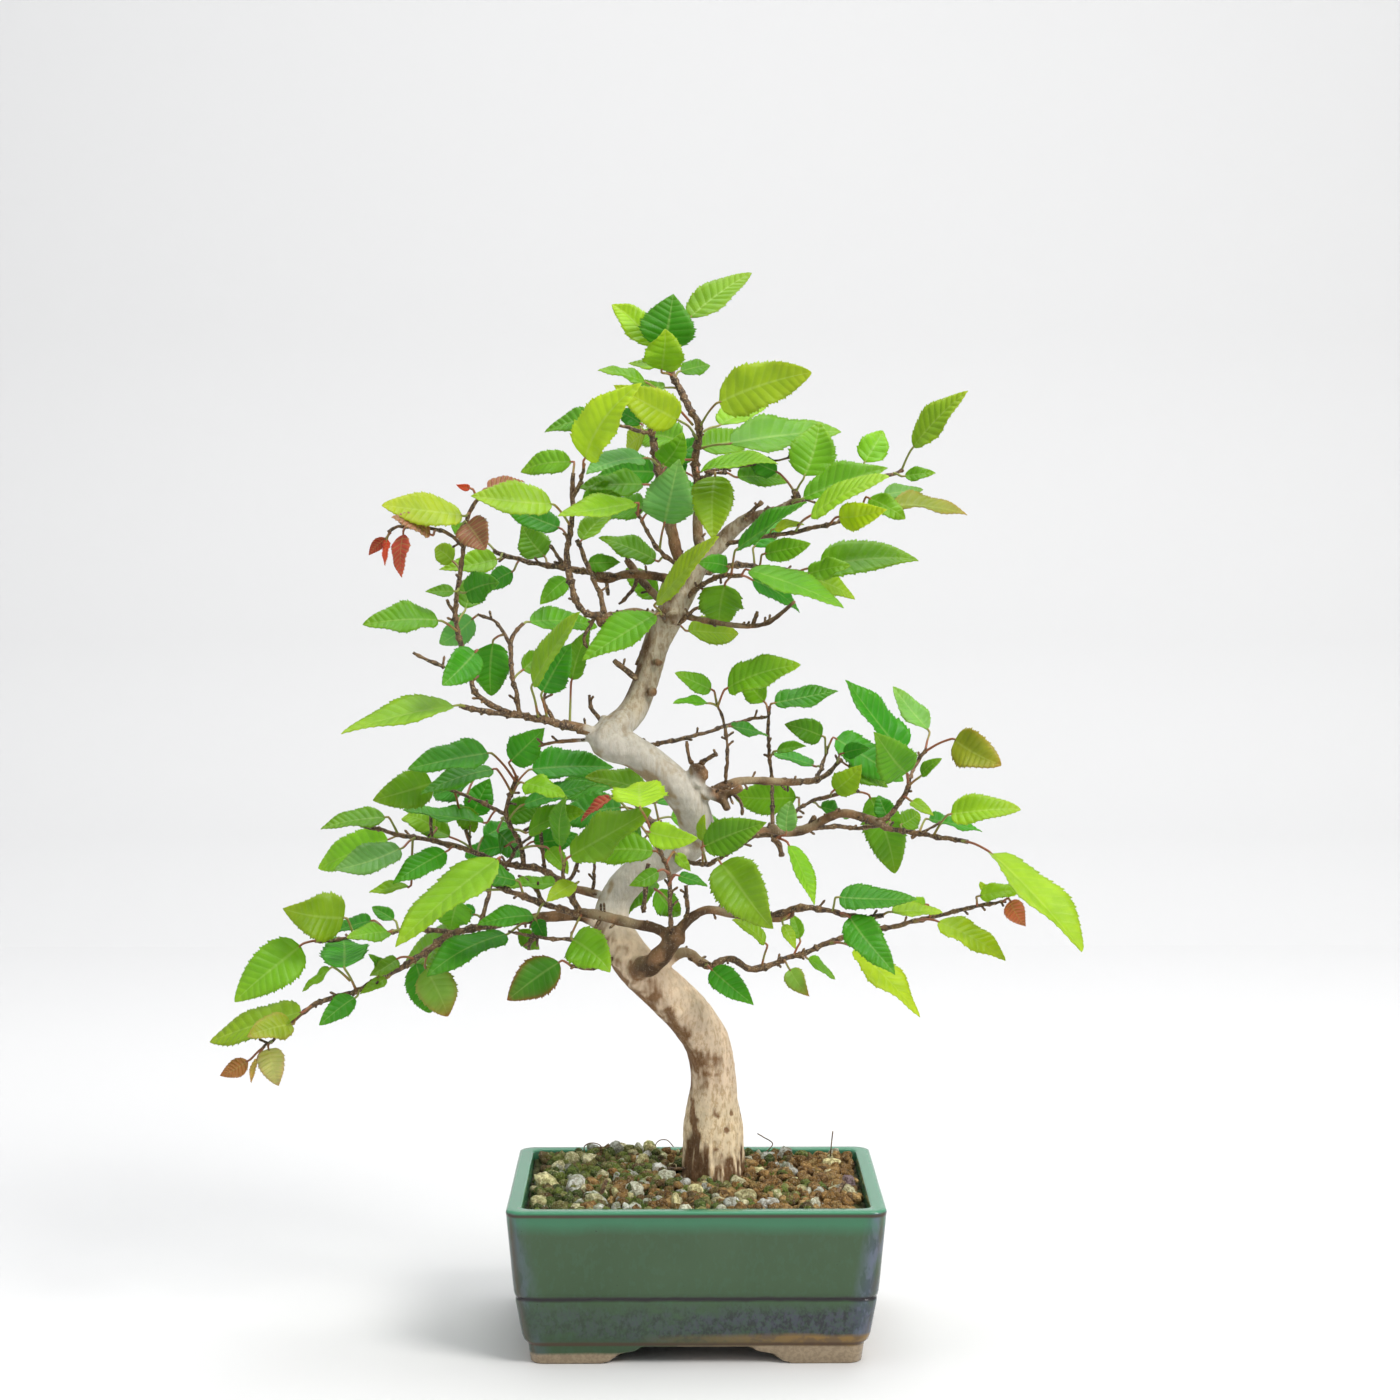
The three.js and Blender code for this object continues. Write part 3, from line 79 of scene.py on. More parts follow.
STOUT_BRANCHES = [
    (5, 3.5, [(-27, 150, -2), (-17.7, 151.5, -9), (-11.7, 158, -13), (-7.4, 164, -14)]),
    (2.6, 1.9, [(-9.5, 161.5, -13.5), (-15, 166, -13), (-24, 168, -13), (-40, 172, -13.4),
                (-47, 173, -13.7)]),
    (2.9, 2.0, [(-33, 164, 4), (-46, 171.5, 2), (-62, 171, -1), (-70, 170, -3)]),
    (2.1, 1.6, [(-32, 178, 7), (-42, 181, 12), (-53.8, 184, 15), (-60, 188, 16.6)]),
    (2.1, 1.6, [(-10, 162, -13), (-2, 170.5, -12), (5.4, 174, -11), (18.7, 171.8, -12), (34, 170.5, -15),
                (40, 173, -17)]),
    (2.3, 1.8, [(-16, 149, 2), (-5, 156.5, 0), (1, 153.5, 0.7), (5.3, 150.8, 1)]),
    (2.6, 1.6, [(-1, 203, 0), (15, 205, 6), (32, 206, 10), (44.3, 206.8, 10), (58.3, 213.3, 8),
                (70.5, 211.3, 6), (76, 209, 5)]),
    (2.2, 1.5, [(2, 219, -4), (11.6, 224.7, -1), (21.2, 226.9, 4), (37.6, 226.3, 10), (43, 226.5, 12)]),
    (2.1, 1.6, [(1, 223, -6), (8, 220.5, -7), (11.5, 218.5, -8), (13.2, 214.8, -9)]),
    (1.8, 1.5, [(4, 223, -5), (12, 221.6, -7), (15.5, 222.4, -9), (19, 224.4, -10)]),
    (2.5, 1.8, [(-36, 244, -6), (-46, 248.3, -7.4), (-54, 250.5, -8.5)]),
    (1.1, 0.7, [(-40, 244, -6), (-57.3, 242.7, -5), (-64, 240.8, -4)]),
    (2.2, 1.7, [(-12, 292, 4), (-24, 295.3, 1), (-36, 293.5, -4), (-41, 294.5, -5.5)]),
    (2.1, 1.5, [(-4, 308, 6), (-25, 311, 9), (-36, 308.7, 9), (-42, 310.5, 8)]),
    (1.9, 1.6, [(-9, 298, 6), (-17, 303, 10), (-28, 317, 14)]),
    (2.7, 1.8, [(-2, 307, 5), (-7, 318, 7), (-10, 331, 8), (-12.5, 341, 8.8), (-13.3, 345, 9)]),
    (2.5, 1.8, [(4, 318, 5), (1, 326, 9), (1.3, 338, 9), (1.4, 342, 8.9)]),
    (1.6, 0.9, [(-10, 295, 3), (0, 293, 0), (13, 290.5, -6), (28, 290.7, -8), (40.5, 300, -8)]),
]


def smooth_line(points, radii, step):
    """Evenly close points on a rounded curve through the given ones, with the radius at each."""
    line = []
    for index in range(len(points) - 1):
        before = points[max(index - 1, 0)]
        start, end = points[index], points[index + 1]
        after = points[min(index + 2, len(points) - 1)]
        count = max(1, math.ceil((end - start).length / step))
        for part in range(count):
            t = part / count
            spot = 0.5 * (2 * start + (end - before) * t + (2 * before - 5 * start + 4 * end - after) * t * t
                          + (3 * start - before - 3 * end + after) * t ** 3)
            line.append((spot, radii[index] + (radii[index + 1] - radii[index]) * t))
    line.append((points[-1], radii[-1]))
    return line


def tapered_line(places, first, last, step):
    """A smooth line through places on the tree; its radius runs from first to last, in millimetres."""
    radii = [(first + (last - first) * index / (len(places) - 1)) / 1000 for index in range(len(places))]
    return smooth_line([on_tree(*place) for place in places], radii, step)


def join_rings(bm, rings):
    """Faces between closed rings of corners, each ring joined to the next."""
    faces = []
    for low, high in zip(rings, rings[1:]):
        for index in range(len(low)):
            following = (index + 1) % len(low)
            faces.append(bm.faces.new((low[index], low[following], high[following], high[index])))
    return faces


def grow_limb(bm, line, sides, slot=0, swell=None):
    """A round limb along the line, closed at both ends."""
    across = Vector((0.1, 1, 0.1))
    rings = []
    for index, (spot, radius) in enumerate(line):
        ahead = line[min(index + 1, len(line) - 1)][0] - line[max(index - 1, 0)][0]
        ahead.normalize()
        across = (across - ahead * across.dot(ahead)).normalized()
        upward = ahead.cross(across)
        ring = []
        for side in range(sides):
            angle = 2 * math.pi * side / sides
            direction = across * math.cos(angle) + upward * math.sin(angle)
            reach = radius * (swell(spot, direction) if swell else 1)
            ring.append(bm.verts.new(spot + direction * reach))
        rings.append(ring)
    ends = [bm.faces.new(list(reversed(rings[0]))), bm.faces.new(rings[-1])]
    for face in ends + join_rings(bm, rings):
        face.material_index = slot
        face.smooth = True


def new_piece(name, bm):
    mesh = bpy.data.meshes.new(name)
    bm.to_mesh(mesh)
    bm.free()
    piece = bpy.data.objects.new(name, mesh)
    bpy.context.scene.collection.objects.link(piece)
    return piece


def settle(piece):
    """Give the piece the mesh that its modifiers make of it."""
    bpy.context.view_layer.update()
    shaped = bpy.data.meshes.new_from_object(piece.evaluated_get(bpy.context.evaluated_depsgraph_get()))
    piece.modifiers.clear()
    piece.data = shaped


TRUNK_SIDES = 40
BRANCH_SIDES = 12
BUTTRESS_HEIGHT = 0.045
WOOD_GRID = 0.0007


def trunk_swell(spot, direction):
    flutes = 0.5 + 0.5 * math.cos(3 * math.atan2(direction.y, direction.x) + 40 * spot.z + 1.1)
    foot = max(0.0, 1 - (spot.z - POT_TOP) / BUTTRESS_HEIGHT)
    lumps = noise.noise(spot * 55 + direction * 1.3)
    return 1 + 0.05 * (flutes - 0.5) + 0.07 * lumps + 0.1 * foot * (flutes - 0.35)


def branch_swell(spot, direction):
    return 1 + 0.16 * noise.noise(spot * 160 + direction * 0.8) + 0.12 * noise.noise(spot * 420)


trunk_places = [on_tree(*row[:3]) for row in TRUNK_LINE]
trunk_middle = smooth_line(trunk_places, [row[3] / 1000 for row in TRUNK_LINE], 0.002)
bm = bmesh.new()
grow_limb(bm, trunk_middle, TRUNK_SIDES, swell=trunk_swell)
for first, last, places in STOUT_BRANCHES:
    grow_limb(bm, tapered_line(places, first, last, 0.0015), BRANCH_SIDES, swell=branch_swell)
# Healed stubs and knobs where shoots were cut: place and radius, in millimetres.
KNOBS = [
    (-37, 251, -4, 2.6), (-17.5, 263, -2, 2.2), (-15, 275, -1, 2.0), (0.5, 231.2, -9, 3.3),
    (2.6, 229.4, -9, 2.8), (-1.5, 228.6, -8, 3.4), (1.2, 226.6, -8, 3.2), (-9, 293, 0, 3.4),
    (-16, 289, 3, 3.0), (32, 206.5, 10, 3.0), (-6, 198, -3, 3.0), (-38, 291.5, -5, 2.3),
    (-24, 144, -4, 3.4), (-8, 131, -4, 3.0), (4.5, 222, -8, 3.2), (-8.5, 163, -13.5, 4.6),
    (-30, 153, -3, 3.6),
]
for x, z, behind, radius in KNOBS:
    for vert in bmesh.ops.create_icosphere(bm, subdivisions=2, radius=radius / 1000)["verts"]:
        gnarl = 1 + 0.5 * noise.noise(vert.co * 420 + Vector((x, z, behind)))
        gnarl += 0.3 * noise.noise(vert.co * 1200)
        vert.co = vert.co * gnarl + on_tree(x, z, behind)
trunk = new_piece("trunk_wood", bm)
remesh = trunk.modifiers.new("join", "REMESH")
remesh.mode = "VOXEL"
remesh.voxel_size = WOOD_GRID
remesh.use_smooth_shade = True
ease = trunk.modifiers.new("ease", "SMOOTH")
ease.factor = 0.5
ease.iterations = 3
settle(trunk)
grown = trunk.data

# Bark by height above the rim, in metres: flakes and buttresses at the foot, cream, then silver, then brown.
# Its relief and its colour are worked out together. Shade is painted into the colour: the bark is browner and
# darker on the underside and the left side of the bends, together with brown patches.
BARE_FROM, SILVER_FROM, BROWN_FROM = 0.026, 0.098, 0.186
FLAKE, CREAM, BARE, SILVER = (0.17, 0.09, 0.04), (0.84, 0.68, 0.46), (0.78, 0.61, 0.44), (0.5, 0.465, 0.4)
UMBER, RUST, SHOOT = (0.12, 0.062, 0.026), (0.25, 0.135, 0.062), (0.075, 0.04, 0.017)
GREY_BROWN, WEATHERED_AND_SHADE, PALE_WOOD = (0.3, 0.225, 0.13), (0.43, 0.29, 0.18), (0.42, 0.355, 0.26)


def clamp(value):
    return max(0.0, min(1.0, value))


def mix_tones(first, second, share):
    share = clamp(share)
    return tuple(a + (b - a) * share for a, b in zip(first, second))


finder = KDTree(len(trunk_middle))
for index, (spot, _) in enumerate(trunk_middle):
    finder.insert(spot, index)
finder.balance()
shaped = []
tones = []
for vert, facing in zip(grown.vertices, grown.vertex_normals):
    spot, outward = vert.co.copy(), facing.vector.copy()
    height = spot.z - POT_TOP
    _, index, distance = finder.find(spot)
    twiggy = (distance / trunk_middle[index][1] - 1.35) * 2.5
    long_grain = noise.noise(Vector((spot.x * 330, spot.y * 330, spot.z * 60)))
    short_grain = noise.noise(spot * 420)
    patches = noise.noise(Vector((spot.x * 110, spot.y * 110, spot.z * 55)) + Vector((3, 1, 7)))
    ragged = noise.noise(Vector((spot.x * 210, spot.y * 210, spot.z * 120)) + Vector((9, 2, 4)))
    ragged += 0.45 * short_grain
    wrinkle = noise.noise(Vector((spot.x * 70, spot.y * 70, spot.z * 420)))
    fibres = noise.noise(Vector((spot.x * 800, spot.y * 800, spot.z * 110)))
    # Painted shade: faces turned left and down count as the shaded side, mixed with random bark patches.
    shade_and_patches = -0.85 * outward.x - 0.4 * outward.z + 0.6 * patches + 0.8 * ragged
    foot = 1 - (height - 0.012 * patches - 0.004 * ragged) / 0.012
    flaky = clamp(1.6 - height / 0.03)
    strips = mix_tones(FLAKE, CREAM, (0.6 * long_grain + 0.7 * fibres - 0.14 - 0.25 * max(0.0, foot)) * 4)
    tone = mix_tones(mix_tones(CREAM, RUST, (ragged - 0.26) * 6), strips, foot * 4)
    # On the shaded side the bare bark turns brown and rust: painted shade, along with real brown patches.
    worn_and_shaded = mix_tones(BARE, WEATHERED_AND_SHADE, (shade_and_patches + 0.03 + 0.5 * fibres) * 1.6)
    worn_and_shaded = mix_tones(worn_and_shaded, RUST, (shade_and_patches - 0.3 + 0.5 * wrinkle + 0.4 * fibres) * 2.6)
    tone = mix_tones(tone, worn_and_shaded, (height - BARE_FROM) / 0.014)
    # The silver bark turns grey-brown on its underside as painted shade, and in patches.
    silver = mix_tones(SILVER, GREY_BROWN, max((shade_and_patches - 0.45) * 2.2, min(0.5, patches + 0.6 * fibres - 0.12)))
    tone = mix_tones(tone, silver, (height - SILVER_FROM) / 0.014)
    # Above, pale wood on the lit side and dark umber on the shaded side: painted light and shade.
    upper = mix_tones(PALE_WOOD, UMBER, 1.2 * shade_and_patches + 0.25 + 0.3 * fibres)
    tone = mix_tones(tone, upper, (height - BROWN_FROM - 0.01 * patches) / 0.01)
    knot = 1.6 - (spot - on_tree(-12, 155, -11)).length / 0.011
    tone = mix_tones(tone, mix_tones(RUST, UMBER, 0.35 + patches), knot)
    # Stout branches are greyer on their upper faces: painted light from above, mixed with grey patches.
    branch = mix_tones(mix_tones(RUST, SHOOT, 0.55 + 2 * ragged), GREY_BROWN, 0.5 * outward.z + 1.6 * patches)
    tone = mix_tones(tone, branch, twiggy)
    shade = 1 + 0.14 * long_grain + 0.1 * short_grain + 0.12 * wrinkle
    smooth_bark = clamp((height - 0.05) / 0.05) * clamp((0.2 - height) / 0.02)
    tones.extend((tone[0] * shade, tone[1] * shade, tone[2] * shade, 1 - 0.7 * smooth_bark))
    rough = 0.0005 * flaky * (min(0.5, max(0.0, 0.35 - ragged) * 4) + abs(long_grain) - 0.5)
    rough += 0.0013 * clamp(foot * 2) * (long_grain + 0.15)
    rough += 0.00022 * long_grain * (height > 0.18) + 0.0001 * short_grain + 0.00016 * wrinkle
    shaped.extend(spot + outward * rough)
grown.vertices.foreach_set("co", shaped)
tone_layer = grown.color_attributes.new("bark_tone", "FLOAT_COLOR", "POINT")
tone_layer.data.foreach_set("color", tones)


def material_of(name):
    made = bpy.data.materials.new(name)
    made.use_nodes = True
    return made, made.node_tree, made.node_tree.nodes["Principled BSDF"]


def node_of(tree, kind, **values):
    made = tree.nodes.new(kind)
    for key, value in values.items():
        if hasattr(made, key):
            setattr(made, key, value)
        else:
            made.inputs[key].default_value = value
    return made


def feed(tree, socket, value):
    """Link another node's output to the socket, or set the socket to a colour or a number."""
    if isinstance(value, bpy.types.NodeSocket):
        tree.links.new(value, socket)
    elif isinstance(value, tuple):
        socket.default_value = (*value, 1)
    elif value is not None:
        socket.default_value = value


def blend_colors(tree, factor, first, second, way="MIX"):
    made = tree.nodes.new("ShaderNodeMix")
    made.data_type = "RGBA"
    made.blend_type = way
    for socket, value in ((made.inputs[0], factor), (made.inputs[6], first), (made.inputs[7], second)):
        feed(tree, socket, value)
    return made.outputs[2]


def number_of(tree, way, first, second, third=None):
    made = tree.nodes.new("ShaderNodeMath")
    made.operation = way
    for socket, value in zip(made.inputs, (first, second, third)):
        feed(tree, socket, value)
    return made.outputs[0]


def both(tree, first, second):
    return number_of(tree, "MULTIPLY", first, second)


def finish(tree, surface, color, roughness, gloss=0.5):
    """The colour, roughness and strength of reflection of a surface."""
    feed(tree, surface.inputs["Base Color"], color)
    surface.inputs["Roughness"].default_value = roughness
    surface.inputs["Specular IOR Level"].default_value = gloss


def raise_relief(tree, surface, height, strength, distance):
    """Fine relief, too small for the mesh, from a mask."""
    bump = node_of(tree, "ShaderNodeBump", Strength=strength, Distance=distance)
    tree.links.new(height, bump.inputs["Height"])
    tree.links.new(bump.outputs["Normal"], surface.inputs["Normal"])


def new_group(name, numbers, masks):
    """An empty node group with these numbers going in and masks coming out, and its two end nodes."""
    group = bpy.data.node_groups.new(name, "ShaderNodeTree")
    for label, usual in numbers:
        socket = group.interface.new_socket(name=label, in_out="INPUT", socket_type="NodeSocketFloat")
        socket.default_value = usual
    for label in masks:
        group.interface.new_socket(name=label, in_out="OUTPUT", socket_type="NodeSocketFloat")
    return group, group.nodes.new("NodeGroupInput"), group.nodes.new("NodeGroupOutput")


def place_group(tree, group, **values):
    made = tree.nodes.new("ShaderNodeGroup")
    made.node_tree = group
    for label, value in values.items():
        made.inputs[label].default_value = value
    return made


# Speckle: a mask of grains of one size over any surface, used on bark, leaves, clay and glaze.
speckle, speckle_in, speckle_out = new_group(
    "speckle", (("Size", 400.0), ("Stretch", 1.0), ("Level", 0.5), ("Softness", 0.08)), ("Mask",))
where = speckle.nodes.new("ShaderNodeTexCoord")
squash = speckle.nodes.new("ShaderNodeVectorMath")
squash.operation = "MULTIPLY"
sizes = node_of(speckle, "ShaderNodeCombineXYZ", X=1.0, Y=1.0)
speckle.links.new(speckle_in.outputs["Stretch"], sizes.inputs["Z"])
speckle.links.new(where.outputs["Object"], squash.inputs[0])
speckle.links.new(sizes.outputs["Vector"], squash.inputs[1])
grains = node_of(speckle, "ShaderNodeTexNoise", Detail=3.0, Roughness=0.6)
speckle.links.new(squash.outputs["Vector"], grains.inputs["Vector"])
speckle.links.new(speckle_in.outputs["Size"], grains.inputs["Scale"])
edge = speckle.nodes.new("ShaderNodeMapRange")
edge.interpolation_type = "SMOOTHSTEP"
low_edge = number_of(speckle, "SUBTRACT", speckle_in.outputs["Level"], speckle_in.outputs["Softness"])
high_edge = number_of(speckle, "ADD", speckle_in.outputs["Level"], speckle_in.outputs["Softness"])
speckle.links.new(grains.outputs["Fac"], edge.inputs["Value"])
speckle.links.new(low_edge, edge.inputs["From Min"])
speckle.links.new(high_edge, edge.inputs["From Max"])
speckle.links.new(edge.outputs["Result"], speckle_out.inputs["Mask"])


def speckle_mask(tree, size, level, stretch=1.0, softness=0.08):
    made = place_group(tree, speckle, Size=size, Level=level, Stretch=stretch, Softness=softness)
    return made.outputs["Mask"]


bark, tree, surface = material_of("bark")
tone = node_of(tree, "ShaderNodeAttribute", attribute_name="bark_tone")
darker = blend_colors(tree, 1.0, tone.outputs["Color"], (0.74, 0.66, 0.56), "MULTIPLY")
paler = blend_colors(tree, 0.15, tone.outputs["Color"], (0.75, 0.66, 0.52))
marks = both(tree, speckle_mask(tree, 700, 0.53, 0.4), tone.outputs["Alpha"])
color = blend_colors(tree, marks, tone.outputs["Color"], darker)
color = blend_colors(tree, speckle_mask(tree, 1400, 0.62, 0.7), color, paler)
finish(tree, surface, color, 0.68, 0.3)
raise_relief(tree, surface, speckle_mask(tree, 800, 0.5, 0.4, 0.2), 0.45, 0.0004)
grown.materials.append(bark)
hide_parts("trunk")
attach(trunk, "root")

# Leafy sprays
# Each spray is a thin twig with its leaves, as it grew this season. The blades are folded along the midrib,
# with straight side veins that each end in a tooth of the saw-cut edge; the youngest leaves are still red.

# Leaf tones, as linear colours: the upper face and how it dries or reddens at the tip.
LEAF_TONES = {
    "lime": ((0.39, 0.61, 0.02), (0.48, 0.63, 0.03)),
    "fresh": ((0.27, 0.53, 0.016), (0.42, 0.58, 0.025)),
    "leaf": ((0.165, 0.44, 0.012), (0.3, 0.5, 0.02)),
    "deep": ((0.065, 0.37, 0.012), (0.15, 0.42, 0.016)),
    "olive": ((0.33, 0.39, 0.025), (0.45, 0.31, 0.045)),
    # The "pale" tone is paler and bluer: a painted reflection, the sheen of glossy leaves over their green.
    "pale": ((0.19, 0.48, 0.11), (0.3, 0.54, 0.09)),
    "edged": ((0.075, 0.31, 0.016), (0.3, 0.13, 0.04)),
    "cream": ((0.62, 0.6, 0.22), (0.62, 0.42, 0.18)),
    "tan": ((0.5, 0.27, 0.11), (0.42, 0.17, 0.07)),
    "brown": ((0.4, 0.17, 0.085), (0.46, 0.2, 0.1)),
    "red": ((0.56, 0.1, 0.055), (0.62, 0.16, 0.1)),
    "salmon": ((0.74, 0.26, 0.15), (0.62, 0.3, 0.2)),
    "dry": ((0.3, 0.5, 0.07), (0.5, 0.22, 0.05)),
}
LEAF_UNDERSIDE = (0.3, 0.45, 0.18)

